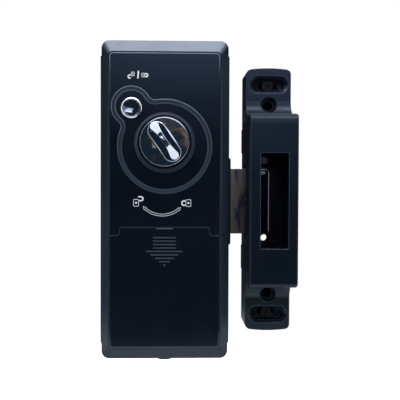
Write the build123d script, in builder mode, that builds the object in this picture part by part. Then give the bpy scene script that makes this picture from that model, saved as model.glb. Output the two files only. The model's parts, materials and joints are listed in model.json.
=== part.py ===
from build123d import *
import math
import os

# Rim-mounted smart door lock with its strike, door closed and bolt thrown.
# Millimetres. The door's face is the plane Y = 0 and the lock stands forward of it, towards -Y.
# X = 0, Z = 0 is the middle of the case. "Depth" always means the distance forward of the door's face.

os.makedirs("parts", exist_ok=True)

# Case outline, seen from the front. Its width and height follow from what stands in it
body_corner_r = 5.0
rail_proud = 0.75
rail_end_gap = 9.5
bolt_rise = 11.3
turn_rise = 36.3
top_reach = 64.9
finger_lip_half_width = 4.8
finger_lip_proud = 1.3
finger_lip_depth = 8.8

# Walls and depths of the case and its covers
plate_thickness = 1.5
plate_margin = 2.5
plate_corner_r = 4.0
case_wall = 2.2
case_floor = 2.0
case_depth = 25.3
seam_gap = 0.2
cover_skirt = 1.0
bevel_rise = 8.0
bevel_side = 5.3
bevel_end = 9.2
bevel_wall = 2.6
groove_width = 0.8
groove_depth = 0.8
panel_proud = 0.4
panel_wall = 2.6
panel_corner_r = 2.4
panel_edge_r = 0.35

# Split between the front cover and the battery cover
split_rise = 11.8
tongue_rise = 5.0
tongue_half_width = 27.6
tongue_corner_r = 2.0
split_gap = 0.3
thumb_catch_width = 10.0
thumb_catch_height = 0.5
thumb_catch_proud = 0.5

# Grip arrow moulded on the battery cover: a stack of bars that points down
grip_drop = 1.4
grip_pitch = 2.11
grip_bar = 0.55
grip_proud = 0.35
grip_stem_bars = 4
grip_stem_width = 13.8
grip_head_width = 22.0
grip_tip_width = 1.2
grip_head_bars = 5

# Thumb turn, its collar and the raised outline round it
turn_travel = 68.0
turn_lean = 35.0
knob_r = 14.7
knob_height = 6.1
knob_lift = 0.5
knob_edge_r = 0.8
knob_bore = 4.0
blade_length = 27.0
blade_foot_width = 10.7
blade_crest_length = 26.2
blade_crest_width = 5.2
blade_waist = 2.5
blade_height = 10.0
blade_edge_r = 0.4
collar_gap = 0.3
collar_foot_r = 18.5
collar_top_wall = 0.9
collar_foot_height = 0.8
collar_height = 5.6
outline_drop = 2.3
outline_r = 29.0
outline_lobe_r = 12.4
outline_lobe_shift = (-0.2, 1.2)
outline_band = 2.8
outline_proud = 0.6
outline_blend_r = 4.0
outline_edge = 0.4

# Push button
button_x = -20.2
button_rise = 20.9
button_r = 5.1
button_gap = 0.25
button_crown = 0.5
button_dish = 0.75
button_travel = 1.2
button_skirt = 0.7
bezel_wall = 0.95
bezel_sleeve_wall = 0.55
bezel_height = 2.2
bezel_edge_r = 0.4

# Bolt, its chassis and faceplate
bolt_height = 42.0
bolt_thickness = 13.0
bolt_length = 79.0
bolt_back = 9.0
bolt_corner_r = 2.5
bolt_proud = 0.5
bolt_gap = 0.25
bolt_window_gap = 0.5
faceplate_thickness = 1.25
faceplate_margin = 6.9
faceplate_depth_margin = 4.0
faceplate_corner_r = 2.0
faceplate_bevel = 0.6
faceplate_screw_inset = 3.3
chassis_thickness = 1.6
chassis_end_gap = 0.4
strap_reach = 25.0
tab_width = 9.0
tab_height = 6.5
tab_inset = 5.0

# Gear train between the thumb turn, the bolt and the motor
gear_module = 1.0
pressure_angle = 25.0
addendum = 0.9
dedendum = 1.15
backlash = 0.3
hub_teeth = 42
idler_small_teeth = 12
idler_large_teeth = 30
motor_teeth = 10
idler_step = 17
motor_direction = 100.0
hub_gap = 0.6
hub_width = 3.5
large_gap = 0.4
large_width = 2.5
axle_r = 1.5
running_gap = 0.05
rack_foot_drop = 5.9
rack_spare_teeth = 2

# Spindle and its bushes
spindle_rear_r = 6.0
spindle_hub_r = 5.0
spindle_front_r = 4.0
spindle_back = 3.8
socket_r = 4.0
socket_depth = 12.0
rear_bush_wall = 1.55
rear_bush_length = 7.5
bush_seat_wall = 2.4
front_bush_wall = 1.6
front_bush_flange = 1.4
front_bush_flange_height = 1.0
clip_height = 0.8
clip_reach = 2.0

# Gear plate
gear_plate_gap = 0.9
gear_plate_thickness = 1.5
gear_plate_margin = 4.2
gear_post_r = 2.6
gear_post_offsets = [(-24.2, -9.4), (24.2, -9.4), (-5.0, 25.9), (27.5, 38.9)]

# Motor
motor_r = 10.0
motor_flat = 7.7
motor_back = 4.2
motor_cap_length = 2.3
motor_length = 20.3
motor_nose_r = 3.0
motor_nose = 1.0
motor_shaft_r = 1.0
bracket_thickness = 1.5
bracket_reach = 14.0
bracket_angle = 40.0
bracket_margin = 3.6

# Control board
board_thickness = 1.6
board_width = 27.8
board_height = 35.9
board_side_gap = 1.55
board_rise = 13.9
board_corner_r = 1.5
switch_size = 6.2
switch_height = 2.3
press_gap = 0.25
limit_switch_height = 5.4
limit_lever_height = 1.4
limit_lever_rise = 3.1
plunger_r = 1.2
plunger_gap = 0.15
plunger_floor = 0.5
buzzer_offset = (-2.9, 9.05)
buzzer_r = 5.0
buzzer_height = 3.4
buzzer_hole_r = 0.9
chip_height = 1.2
chip_processor = (6.3, 7.05, 7.0, 7.0)
chip_driver = (-8.9, -2.45, 5.0, 6.0)
chip_memory = (8.6, -1.45, 4.0, 5.0)
cable_x = -20.0
cable_rise = 32.4
cable_slot_length = 16.0
cable_slot_width = 9.0
socket_width = 12.0
socket_height = 5.0
socket_length = 6.0
socket_wall = 1.1

# Battery bay: four AA cells side by side
cell_r = 7.1
cell_body = 49.0
nub_r = 2.75
nub_height = 1.5
cell_pitch = 15.1
cell_count = 4
tray_wall = 1.4
tray_floor = 1.6
tray_lift = 5.3
tray_depth = 11.0
tray_foot_gap = 7.0
tray_side_gap = 3.5
contact_thickness = 0.4
contact_width = 10.0
spring_room = 4.2
spring_foot_r = 3.6
spring_tip_r = 2.4
spring_wire = 0.7
partition_wall = 1.4
partition_gap = 0.4

# Hooks that carry the battery cover in the case's side channels
hook_leg = 1.2
hook_reach = 1.2
hook_height = 1.6
hook_gap = 0.3
channel_rib = 1.95
channel_rib_drop = 1.5
channel_rib_height = 1.6
hook_end_margin = 6.5
hook_root_rise = 4.0

# Screws
m2_head_r = 2.0
m3_shank_r = 1.5
m3_head_r = 2.7
m3_head_height = 1.7
m4_shank_r = 2.0
m4_head_r = 3.7
m4_head_height = 2.5
screw_clearance = 0.2
head_clearance = 0.4
drive_width = 0.8
drive_depth = 1.0
boss_wall = 1.4
boss_gap = 0.3
cover_post_inset = 7.05
cover_post_rise = 4.4
cover_post_drop = 10.5
cover_post_r = 3.0
cover_boss_height = 13.0
screw_bite = 8.0
chassis_screw_bite = 2.5
body_screw_high_x = 26.0
body_screw_high_drop = 1.6
body_screw_low_x = 20.0
body_screw_low_drop = 5.6
door_hole_r = 2.6
door_hole_inset = 6.3
door_head_r = 4.0
turn_hole_r = 12.0

# Strike on the door frame
strike_gap = 12.5
strike_rise = 0.7
strike_width = 30.3
strike_height = 174.6
strike_corner_r = 4.0
strike_crown = 1.2
base_thickness = 3.0
slide_gap = 0.1
ear_front = 15.2
box_front = 34.0
box_height = 109.4
box_edge_r = 3.0
box_blend_r = 11.0
box_side_r = 1.6
strike_wall = 2.3
strike_face = 3.0
window_width = 17.6
window_height = 59.8
pocket_height = 66.0
end_pocket_margin = 3.0
keeper_clearance = 2.6
adjust_travel = 4.0
slot_reach = 76.5
slot_rim_length = 26.2
slot_rim_width = 11.5
slot_length = 22.0
slot_width = 8.4
slot_rim_depth = 2.0
slot_floor = 8.1
frame_hole_r = 2.3
lock_hole_reach = 62.8
lock_hole_r = 3.4
lock_head_r = 5.45
lock_head_depth = 3.0
back_hole_reach = 26.9
magnet_r = 2.5
magnet_length = 2.6
liner_thickness = 0.95
liner_foot_reach = 47.7
liner_top_reach = 45.4
liner_notch_reach = 31.7
liner_gap = 0.4

# Case size: the battery tray, its hooks and the walls in width; the tray, the bolt and the turn in height
tray_half_width = cell_count * cell_pitch / 2 + tray_wall
case_inner_half = tray_half_width + tray_side_gap + hook_leg + hook_gap + channel_rib
case_side_x = case_inner_half + case_wall
body_width = 2 * (case_side_x - rail_proud)
cell_length = cell_body + nub_height
tray_height = cell_length + spring_room + 2 * contact_thickness + 2 * tray_wall
bay_height = case_wall + tray_foot_gap + tray_height
body_height = bay_height + bolt_rise + bolt_height / 2 + turn_rise + top_reach
case_inner_half_z = body_height / 2 - case_wall
tray_bottom_z = -case_inner_half_z + tray_foot_gap
tray_top_z = tray_bottom_z + tray_height
split_z = tray_top_z + split_rise
bolt_bottom_z = tray_top_z + bolt_rise
bolt_z = bolt_bottom_z + bolt_height / 2
bolt_top_z = bolt_bottom_z + bolt_height
turn_z = bolt_z + turn_rise
button_z = turn_z + button_rise

# Depths worked out from the walls
case_back = plate_thickness
floor_front = case_back + case_floor
rim_depth = case_back + case_depth
cover_back = rim_depth + seam_gap
bevel_back = cover_back + cover_skirt
ridge_depth = bevel_back + bevel_rise
panel_front = ridge_depth + panel_proud
panel_back = panel_front - panel_wall
ridge_width = body_width - 2 * bevel_side
ridge_height = body_height - 2 * bevel_end
panel_width = ridge_width - 2 * groove_width
panel_height = ridge_height - 2 * groove_width

# Bolt and rack, worked out from the gear on the thumb turn
hub_pitch_r = gear_module * hub_teeth / 2
bolt_throw = hub_pitch_r * math.radians(turn_travel)
faceplate_x = case_side_x + faceplate_thickness
bolt_tip_x = faceplate_x + bolt_proud + bolt_throw
bolt_tail_x = bolt_tip_x - bolt_length
bolt_front = bolt_back + bolt_thickness
bolt_middle = (bolt_back + bolt_front) / 2
rack_pitch_z = turn_z - hub_pitch_r
rack_foot_z = rack_pitch_z - dedendum * gear_module - rack_foot_drop

# Gear centres and depths
half_turn = 180.0
hub_back = bolt_front + hub_gap
hub_front = hub_back + hub_width
large_back = hub_front + large_gap
large_front = large_back + large_width
gear_plate_back = large_front + gear_plate_gap
gear_plate_front = gear_plate_back + gear_plate_thickness
idler_direction = -half_turn / 2 + 2 * half_turn * idler_step / hub_teeth
idler_distance = gear_module * (hub_teeth + idler_small_teeth) / 2
idler_x = idler_distance * math.cos(math.radians(idler_direction))
idler_z = turn_z + idler_distance * math.sin(math.radians(idler_direction))
motor_distance = gear_module * (idler_large_teeth + motor_teeth) / 2
motor_x = idler_x + motor_distance * math.cos(math.radians(motor_direction))
motor_z = idler_z + motor_distance * math.sin(math.radians(motor_direction))
motor_front = motor_back + motor_length
bracket_points = [
    (motor_x + side * bracket_reach * math.cos(math.radians(bracket_angle)),
     motor_z + bracket_reach * math.sin(math.radians(bracket_angle)))
    for side in (-1, 1)
]
gear_posts = [(x, turn_z + rise) for x, rise in gear_post_offsets]

# Chassis
chassis_back = bolt_back - bolt_gap - chassis_thickness
chassis_left = -(case_inner_half - chassis_end_gap)
chassis_right = case_inner_half - chassis_end_gap
chassis_top_z = bolt_top_z + bolt_gap + chassis_thickness
chassis_bottom_z = bolt_bottom_z - bolt_gap - chassis_thickness
tab_x = case_inner_half - tab_inset
tab_points = [
    (side * tab_x, z)
    for side in (-1, 1)
    for z in (chassis_top_z + tab_height / 2, chassis_bottom_z - tab_height / 2)
]

# Fasteners
cover_post_x = case_inner_half - cover_post_inset
cover_post_zs = (turn_z + cover_post_rise, body_height / 2 - cover_post_drop)
cover_posts = [(side * cover_post_x, z) for side in (-1, 1) for z in cover_post_zs]
cover_boss_front = floor_front + cover_boss_height
body_screws = [(side * body_screw_high_x, turn_z - body_screw_high_drop) for side in (-1, 1)]
body_screws += [(side * body_screw_low_x, bolt_bottom_z - body_screw_low_drop) for side in (-1, 1)]
door_holes = [(0.0, side * (body_height / 2 - door_hole_inset)) for side in (-1, 1)]
faceplate_screw_points = [
    (-bolt_middle, bolt_z + side * (bolt_height / 2 + faceplate_screw_inset)) for side in (-1, 1)
]
board_left = board_side_gap - case_inner_half
board_right = board_left + board_width
board_bottom = turn_z + board_rise
board_top = board_bottom + board_height
board_middle = ((board_left + board_right) / 2, (board_bottom + board_top) / 2)
cable_z = turn_z + cable_rise
board_posts = [
    (board_left + m3_head_r + boss_wall, board_bottom + m3_head_r + boss_wall),
    (board_left + m3_head_r + boss_wall, board_top - m3_head_r - boss_wall),
    (board_right - m3_head_r - boss_wall, board_top - m3_head_r - boss_wall),
]

# Button cap, and the board behind it
cap_back = panel_back - button_gap - button_skirt
button_seat = cap_back - button_travel - press_gap
board_front = button_seat - switch_height
board_back = board_front - board_thickness

# Battery bay
tray_back = floor_front + tray_lift
tray_inner_back = tray_back + tray_floor
tray_inner_top = tray_top_z - tray_wall
tray_inner_bottom = tray_bottom_z + tray_wall
cell_depth = tray_inner_back + cell_r
cell_xs = [(i - (cell_count - 1) / 2) * cell_pitch for i in range(cell_count)]

# Hooks of the battery cover
rib_front = rim_depth - channel_rib_drop
rib_back = rib_front - channel_rib_height
rib_inner_x = case_inner_half - channel_rib
hook_front = rib_back - hook_gap
hook_back = hook_front - hook_height
hook_leg_outer = rib_inner_x - hook_gap
hook_leg_inner = hook_leg_outer - hook_leg
hook_top_z = tray_top_z - partition_gap
hook_bottom_z = -(body_height / 2 - hook_end_margin)

# Strike
strike_x = case_side_x + strike_gap + strike_width / 2
strike_z = bolt_z + strike_rise
strike_left = strike_x - strike_width / 2
strike_right = strike_x + strike_width / 2
housing_back = base_thickness + slide_gap
box_half = box_height / 2
pocket_front = box_front - strike_face
keeper_low_z = bolt_bottom_z - keeper_clearance
keeper_high_z = bolt_top_z + keeper_clearance
keeper_front = bolt_front + keeper_clearance
keeper_back = bolt_back - keeper_clearance
liner_back = housing_back + slide_gap
liner_front = box_front - liner_gap
slot_points = [(strike_x, strike_z + side * slot_reach) for side in (1, -1)]
frame_reach = (pocket_height + box_height) / 4
frame_points = [(strike_x, strike_z + side * frame_reach) for side in (1, -1)]
lock_points = [(strike_x, strike_z + side * lock_hole_reach) for side in (1, -1)]
magnet_point = (strike_x, strike_z + back_hole_reach)
back_hole_point = (strike_x, strike_z - back_hole_reach)


def front_plane(depth):
    """The plane parallel to the door at a depth, facing forward, with X across and Z up."""
    return Plane.XZ.offset(depth)


def side_plane(x):
    """The plane across the lock at x, facing +X, with Y first and Z second."""
    return Plane.YZ.offset(x)


def blade_plane(depth):
    """The plane across the thumb turn's axis at a depth, facing forward, with its X along the blade."""
    lean = math.radians(half_turn / 2 + turn_lean)
    return Plane(origin=(0, -depth, turn_z), x_dir=(math.cos(lean), 0, math.sin(lean)), z_dir=(0, -1, 0))


def block(back, front, low, high, mode=Mode.ADD):
    """A block between two depths, over the rectangle with corners low and high as (x, z)."""
    with BuildSketch(front_plane(back)) as footprint:
        with Locations(((low[0] + high[0]) / 2, (low[1] + high[1]) / 2)):
            Rectangle(high[0] - low[0], high[1] - low[1])
    extrude(footprint.sketch, amount=front - back, mode=mode)


def discs(back, front, points, radius, mode=Mode.ADD):
    """Round posts or holes between two depths at points given as (x, z)."""
    with BuildSketch(front_plane(back)) as footprint:
        with Locations(*points):
            Circle(radius)
    extrude(footprint.sketch, amount=front - back, mode=mode)


def screws(points, seat, head_r, head_height, shank_r, reach):
    """Cross-recessed screws whose heads sit forward of the seat and whose shanks reach back."""
    discs(seat, seat + head_height, points, head_r)
    discs(seat - reach, seat, points, shank_r)
    with BuildSketch(front_plane(seat + head_height)) as recess:
        with Locations(*points):
            Rectangle(2 * shank_r, drive_width)
            Rectangle(drive_width, 2 * shank_r)
    extrude(recess.sketch, amount=-drive_depth, mode=Mode.SUBTRACT)


def gear_outline(depth, centre, teeth, tooth_direction):
    """A spur gear's outline with one tooth centred on tooth_direction, in degrees from +X towards +Z.

    Each flank is drawn straight from root to pitch circle to tip through points of the involute.
    """
    pitch_r = gear_module * teeth / 2
    base_r = pitch_r * math.cos(math.radians(pressure_angle))

    def half_angle(radius):
        slope = math.acos(min(1.0, base_r / radius))
        pitch_slope = math.radians(pressure_angle)
        pitch_half = (math.pi * gear_module / 2 - backlash / 2) / (2 * pitch_r)
        return pitch_half + (math.tan(pitch_slope) - pitch_slope) - (math.tan(slope) - slope)

    radii = [pitch_r - dedendum * gear_module, pitch_r, pitch_r + addendum * gear_module]
    points = []
    for tooth in range(teeth):
        middle = math.radians(tooth_direction) + 2 * math.pi * tooth / teeth
        flank = [(r, middle - half_angle(r)) for r in radii]
        flank += [(r, middle + half_angle(r)) for r in reversed(radii)]
        points += [(centre[0] + r * math.cos(a), centre[1] + r * math.sin(a)) for r, a in flank]
    with BuildSketch(front_plane(depth)) as outline:
        with BuildLine():
            Polyline(*points, close=True)
        make_face()
    return outline.sketch


def region_below_split(drop):
    """The front view below the line that parts the two covers, lowered by drop."""
    foot = split_z - drop
    top = foot + tongue_rise
    edge = body_width
    with BuildSketch(front_plane(0)) as region:
        with BuildLine():
            Polyline(
                (-edge, -body_height), (edge, -body_height), (edge, foot), (tongue_half_width, foot),
                (tongue_half_width, top), (-tongue_half_width, top), (-tongue_half_width, foot),
                (-edge, foot), close=True,
            )
        make_face()
        corners = region.vertices().filter_by(lambda v: abs(abs(v.X) - tongue_half_width) < 0.01)
        fillet(corners, tongue_corner_r)
    return region.sketch


def turn_outline(inset):
    """The raised island of the turn and its button lobe, drawn in by inset, its two crossings blended."""
    with BuildPart() as island:
        with BuildSketch(front_plane(panel_front)):
            with Locations((0, turn_z - outline_drop)):
                Circle(outline_r - inset)
            with Locations((button_x + outline_lobe_shift[0], button_z + outline_lobe_shift[1])):
                Circle(outline_lobe_r - inset)
        extrude(amount=outline_proud)
        crossings = island.edges().filter_by(Axis.Y).sort_by(Axis.X)[:2]
        fillet(crossings, outline_blend_r + inset)
    return island.part


# Steel plate that is fixed to the door and carries the case
with BuildPart() as mounting_plate:
    with BuildSketch(front_plane(0)):
        RectangleRounded(body_width - 2 * plate_margin, body_height - 2 * plate_margin, plate_corner_r)
        with Locations((0, turn_z)):
            Circle(turn_hole_r, mode=Mode.SUBTRACT)
        with Locations((cable_x, cable_z)):
            SlotOverall(cable_slot_length, cable_slot_width, mode=Mode.SUBTRACT)
        with Locations(*door_holes):
            Circle(door_hole_r, mode=Mode.SUBTRACT)
        with Locations(*body_screws):
            Circle(m4_shank_r, mode=Mode.SUBTRACT)
    extrude(amount=plate_thickness)
mounting_plate.part.label = "mounting_plate"
export_step(mounting_plate.part, "parts/mounting_plate.step")

# Tray-shaped rear case with the bosses that carry everything inside
with BuildPart() as rear_case:
    with BuildSketch(front_plane(case_back)):
        RectangleRounded(body_width, body_height, body_corner_r)
        Rectangle(2 * case_side_x, body_height - 2 * rail_end_gap)
    extrude(amount=case_depth)
    with BuildSketch(front_plane(rim_depth)):
        with Locations((0, -body_height / 2)):
            Ellipse(finger_lip_half_width, finger_lip_proud)
    extrude(amount=-finger_lip_depth)
    with BuildSketch(front_plane(floor_front)):
        RectangleRounded(2 * case_inner_half, 2 * case_inner_half_z, body_corner_r - case_wall)
    extrude(amount=case_depth, mode=Mode.SUBTRACT)
    discs(floor_front, spindle_back + rear_bush_length - case_floor, [(0, turn_z)],
          spindle_rear_r + running_gap + rear_bush_wall + bush_seat_wall)
    discs(floor_front, chassis_back, tab_points, m3_head_r + boss_wall)
    discs(floor_front, gear_plate_back, gear_posts, gear_post_r)
    discs(floor_front, board_back, board_posts, m3_head_r)
    discs(floor_front, cover_boss_front, cover_posts, cover_post_r + boss_gap)
    discs(floor_front, motor_front, bracket_points, bracket_margin - boss_gap)
    discs(floor_front, hub_back - hub_gap, [(idler_x, idler_z)], axle_r + bush_seat_wall)
    block(floor_front, rim_depth - channel_rib_drop,
          (-case_inner_half, tray_top_z + partition_gap),
          (case_inner_half, tray_top_z + partition_gap + partition_wall))
    for side in (-1, 1):
        block(floor_front, tray_back,
              (side * cell_pitch - tray_wall / 2, tray_bottom_z + tray_wall),
              (side * cell_pitch + tray_wall / 2, tray_top_z - tray_wall))
        near, far = sorted((side * rib_inner_x, side * case_inner_half))
        block(rib_back, rib_front, (near, -case_inner_half_z), (far, tray_top_z))
        slot_inner = hook_leg_inner - hook_gap
        slot_outer = hook_leg_outer + hook_reach + hook_gap
        near, far = sorted((side * slot_inner, side * slot_outer))
        block(hook_back - hook_gap, rim_depth, (near, -body_height / 2),
              (far, body_corner_r - case_inner_half_z), mode=Mode.SUBTRACT)
    discs(case_back, spindle_back + rear_bush_length, [(0, turn_z)],
          spindle_rear_r + running_gap + rear_bush_wall, mode=Mode.SUBTRACT)
    with BuildSketch(front_plane(case_back)):
        with Locations((cable_x, cable_z)):
            SlotOverall(cable_slot_length, cable_slot_width)
        with Locations(*door_holes):
            Circle(door_head_r)
        with Locations(*body_screws):
            Circle(m4_shank_r + screw_clearance)
    extrude(amount=case_floor, mode=Mode.SUBTRACT)
    discs(case_back, case_back + m3_head_height + head_clearance, cover_posts,
          m3_head_r + head_clearance, mode=Mode.SUBTRACT)
    discs(case_back, cover_boss_front, cover_posts, m3_shank_r + screw_clearance, mode=Mode.SUBTRACT)
    discs(chassis_back - chassis_screw_bite, chassis_back, tab_points, m3_shank_r, mode=Mode.SUBTRACT)
    discs(gear_plate_back - screw_bite, gear_plate_back, gear_posts, m3_shank_r, mode=Mode.SUBTRACT)
    discs(board_back - screw_bite, board_back, board_posts, m3_shank_r, mode=Mode.SUBTRACT)
    discs(motor_front - screw_bite, motor_front, bracket_points, m3_shank_r, mode=Mode.SUBTRACT)
    discs(bolt_front - screw_bite, bolt_front, [(idler_x, idler_z)], axle_r, mode=Mode.SUBTRACT)
    with BuildSketch(side_plane(case_inner_half)):
        with Locations((-bolt_middle, bolt_z)):
            Rectangle(bolt_thickness + 2 * bolt_window_gap, bolt_height + 2 * bolt_window_gap)
        with Locations(*faceplate_screw_points):
            Circle(m3_shank_r)
    extrude(amount=2 * case_wall, mode=Mode.SUBTRACT)
rear_case.part.label = "rear_case"
export_step(rear_case.part, "parts/rear_case.step")

# The bevelled front shell, which the split line parts into two covers
with BuildPart() as front_shell:
    with BuildSketch(front_plane(cover_back)):
        RectangleRounded(body_width, body_height, body_corner_r)
    extrude(amount=cover_skirt)
    with BuildSketch(front_plane(bevel_back)):
        RectangleRounded(body_width, body_height, body_corner_r)
    with BuildSketch(front_plane(ridge_depth)):
        RectangleRounded(ridge_width, ridge_height, panel_corner_r + groove_width)
    loft()
    with BuildSketch(front_plane(ridge_depth)):
        RectangleRounded(ridge_width, ridge_height, panel_corner_r + groove_width)
    extrude(amount=-groove_depth, mode=Mode.SUBTRACT)
    with BuildSketch(front_plane(ridge_depth - groove_depth)):
        RectangleRounded(ridge_width, ridge_height, panel_corner_r + groove_width)
        RectangleRounded(panel_width + groove_width, panel_height + groove_width,
                         panel_corner_r + groove_width / 2, mode=Mode.SUBTRACT)
    extrude(amount=groove_depth)
    with BuildSketch(front_plane(ridge_depth - groove_depth)):
        RectangleRounded(panel_width, panel_height, panel_corner_r)
    extrude(amount=groove_depth + panel_proud)
    fillet(front_shell.faces().sort_by(Axis.Y)[0].edges(), panel_edge_r)
    with BuildSketch(front_plane(cover_back)):
        RectangleRounded(body_width - 2 * case_wall, body_height - 2 * case_wall, body_corner_r - case_wall)
    extrude(amount=cover_skirt, mode=Mode.SUBTRACT)
    with BuildSketch(front_plane(bevel_back)):
        RectangleRounded(body_width - 2 * case_wall, body_height - 2 * case_wall, body_corner_r - case_wall)
    inner_rise = (panel_back - bevel_back) / bevel_rise
    with BuildSketch(front_plane(panel_back)):
        RectangleRounded(
            body_width - 2 * (bevel_wall + bevel_side * inner_rise),
            body_height - 2 * (bevel_wall + bevel_end * inner_rise),
            body_corner_r - case_wall,
        )
    loft(mode=Mode.SUBTRACT)

# Upper front cover: the panel with its raised outline, the turn's hole and the button's hole
with BuildPart() as front_cover:
    add(front_shell.part)
    extrude(region_below_split(-split_gap / 2), amount=body_width, mode=Mode.SUBTRACT)
    add(turn_outline(0))
    add(turn_outline(outline_band), mode=Mode.SUBTRACT)
    band_top = front_cover.faces().filter_by(Axis.Y).sort_by(Axis.Y)[0]
    chamfer(band_top.edges(), outline_edge)
    discs(cover_boss_front + boss_gap, panel_back, cover_posts, cover_post_r)
    discs(cover_boss_front + boss_gap, cover_boss_front + screw_bite, cover_posts, m3_shank_r,
          mode=Mode.SUBTRACT)
    discs(panel_back, panel_front, [(0, turn_z)], spindle_front_r + screw_clearance, mode=Mode.SUBTRACT)
    discs(panel_back, panel_front, [(button_x, button_z)], button_r + button_gap + bezel_sleeve_wall,
          mode=Mode.SUBTRACT)
front_cover.part.label = "front_cover"
export_step(front_cover.part, "parts/front_cover.step")

# Battery cover: slides down, with a thumb catch, a grip arrow and two hooked legs inside
with BuildPart() as battery_cover:
    add(front_shell.part)
    extrude(region_below_split(split_gap / 2), amount=body_width, mode=Mode.INTERSECT)
    grip_step = (grip_head_width - grip_tip_width) / (grip_head_bars - 1)
    for bar in range(grip_stem_bars + grip_head_bars):
        head_bar = bar - grip_stem_bars
        width = grip_stem_width if head_bar < 0 else grip_head_width - grip_step * head_bar
        with BuildSketch(front_plane(panel_front)):
            with Locations((0, split_z - grip_drop - grip_pitch * bar)):
                Rectangle(width, grip_bar)
        extrude(amount=grip_proud)
    with BuildSketch(front_plane(panel_front)):
        with Locations((0, split_z + tongue_rise - split_gap - thumb_catch_height)):
            Rectangle(thumb_catch_width, thumb_catch_height)
    extrude(amount=thumb_catch_proud)
    for side in (-1, 1):
        near, far = sorted((side * hook_leg_inner, side * hook_leg_outer))
        block(hook_back, bevel_back + hook_root_rise, (near, hook_bottom_z), (far, hook_top_z))
        near, far = sorted((side * hook_leg_outer, side * (hook_leg_outer + hook_reach)))
        block(hook_back, hook_front, (near, hook_bottom_z), (far, hook_top_z))
battery_cover.part.label = "battery_cover"
export_step(battery_cover.part, "parts/battery_cover.step")

# Screws that hold the front cover from behind
with BuildPart() as cover_screws:
    discs(case_back + head_clearance, case_back + head_clearance + m3_head_height, cover_posts, m3_head_r)
    discs(case_back + head_clearance + m3_head_height, cover_boss_front + screw_bite - boss_gap,
          cover_posts, m3_shank_r)
    with BuildSketch(front_plane(case_back + head_clearance)):
        with Locations(*cover_posts):
            Rectangle(2 * m3_shank_r, drive_width)
            Rectangle(drive_width, 2 * m3_shank_r)
    extrude(amount=drive_depth, mode=Mode.SUBTRACT)
cover_screws.part.label = "cover_screws"
export_step(cover_screws.part, "parts/cover_screws.step")

# Screws that hold the case on the mounting plate
with BuildPart() as body_screw_set:
    screws(body_screws, floor_front, m4_head_r, m4_head_height, m4_shank_r, floor_front - screw_clearance)
body_screw_set.part.label = "body_screws"
export_step(body_screw_set.part, "parts/body_screws.step")

# Steel plate round the bolt's mouth
with BuildPart() as faceplate:
    with BuildSketch(side_plane(case_side_x)):
        with Locations((-bolt_middle, bolt_z)):
            RectangleRounded(
                bolt_thickness + 2 * faceplate_depth_margin,
                bolt_height + 2 * faceplate_margin,
                faceplate_corner_r,
            )
    extrude(amount=faceplate_thickness)
    chamfer(faceplate.faces().sort_by(Axis.X)[-1].edges(), faceplate_bevel)
    with BuildSketch(side_plane(case_side_x)):
        with Locations((-bolt_middle, bolt_z)):
            Rectangle(bolt_thickness + 2 * bolt_gap, bolt_height + 2 * bolt_gap)
        with Locations(*faceplate_screw_points):
            Circle(m3_shank_r + screw_clearance)
    extrude(amount=faceplate_thickness, mode=Mode.SUBTRACT)
faceplate.part.label = "bolt_faceplate"
export_step(faceplate.part, "parts/bolt_faceplate.step")

with BuildPart() as faceplate_screws:
    with BuildSketch(side_plane(case_side_x - case_wall)):
        with Locations(*faceplate_screw_points):
            Circle(m3_shank_r)
    extrude(amount=case_wall + faceplate_thickness)
    with BuildSketch(side_plane(faceplate_x)):
        with Locations(*faceplate_screw_points):
            Circle(m2_head_r)
    extrude(amount=bolt_proud)
    with BuildSketch(side_plane(faceplate_x + bolt_proud)):
        with Locations(*faceplate_screw_points):
            Rectangle(m3_shank_r, drive_width / 2)
            Rectangle(drive_width / 2, m3_shank_r)
    extrude(amount=-bolt_proud, mode=Mode.SUBTRACT)
faceplate_screws.part.label = "faceplate_screws"
export_step(faceplate_screws.part, "parts/faceplate_screws.step")

# Steel channel that guides the bolt
with BuildPart() as bolt_chassis:
    block(chassis_back, chassis_back + chassis_thickness,
          (chassis_left, chassis_bottom_z), (chassis_right, chassis_top_z))
    block(chassis_back, bolt_front + bolt_gap,
          (chassis_left, chassis_top_z - chassis_thickness), (chassis_right, chassis_top_z))
    block(chassis_back, bolt_front + bolt_gap,
          (chassis_left, chassis_bottom_z), (chassis_right, chassis_bottom_z + chassis_thickness))
    block(bolt_front + bolt_gap, bolt_front + bolt_gap + chassis_thickness,
          (chassis_left, chassis_bottom_z), (chassis_right, chassis_bottom_z + strap_reach))
    with BuildSketch(front_plane(chassis_back)):
        with Locations(*tab_points):
            Rectangle(tab_width, tab_height)
    extrude(amount=chassis_thickness)
    discs(chassis_back, chassis_back + chassis_thickness, tab_points, m3_shank_r + screw_clearance,
          mode=Mode.SUBTRACT)
bolt_chassis.part.label = "bolt_chassis"
export_step(bolt_chassis.part, "parts/bolt_chassis.step")

with BuildPart() as chassis_screws:
    screws(tab_points, chassis_back + chassis_thickness, m3_head_r, m3_head_height, m3_shank_r,
           chassis_thickness + chassis_screw_bite)
chassis_screws.part.label = "chassis_screws"
export_step(chassis_screws.part, "parts/chassis_screws.step")

# Dead bolt, shown thrown
with BuildPart() as deadbolt:
    block(bolt_back, bolt_front, (bolt_tail_x, bolt_bottom_z), (bolt_tip_x, bolt_top_z))
    fillet(deadbolt.faces().sort_by(Axis.X)[-1].edges().filter_by(Axis.Y), bolt_corner_r)
deadbolt.part.label = "deadbolt"
export_step(deadbolt.part, "parts/deadbolt.step")

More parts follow.
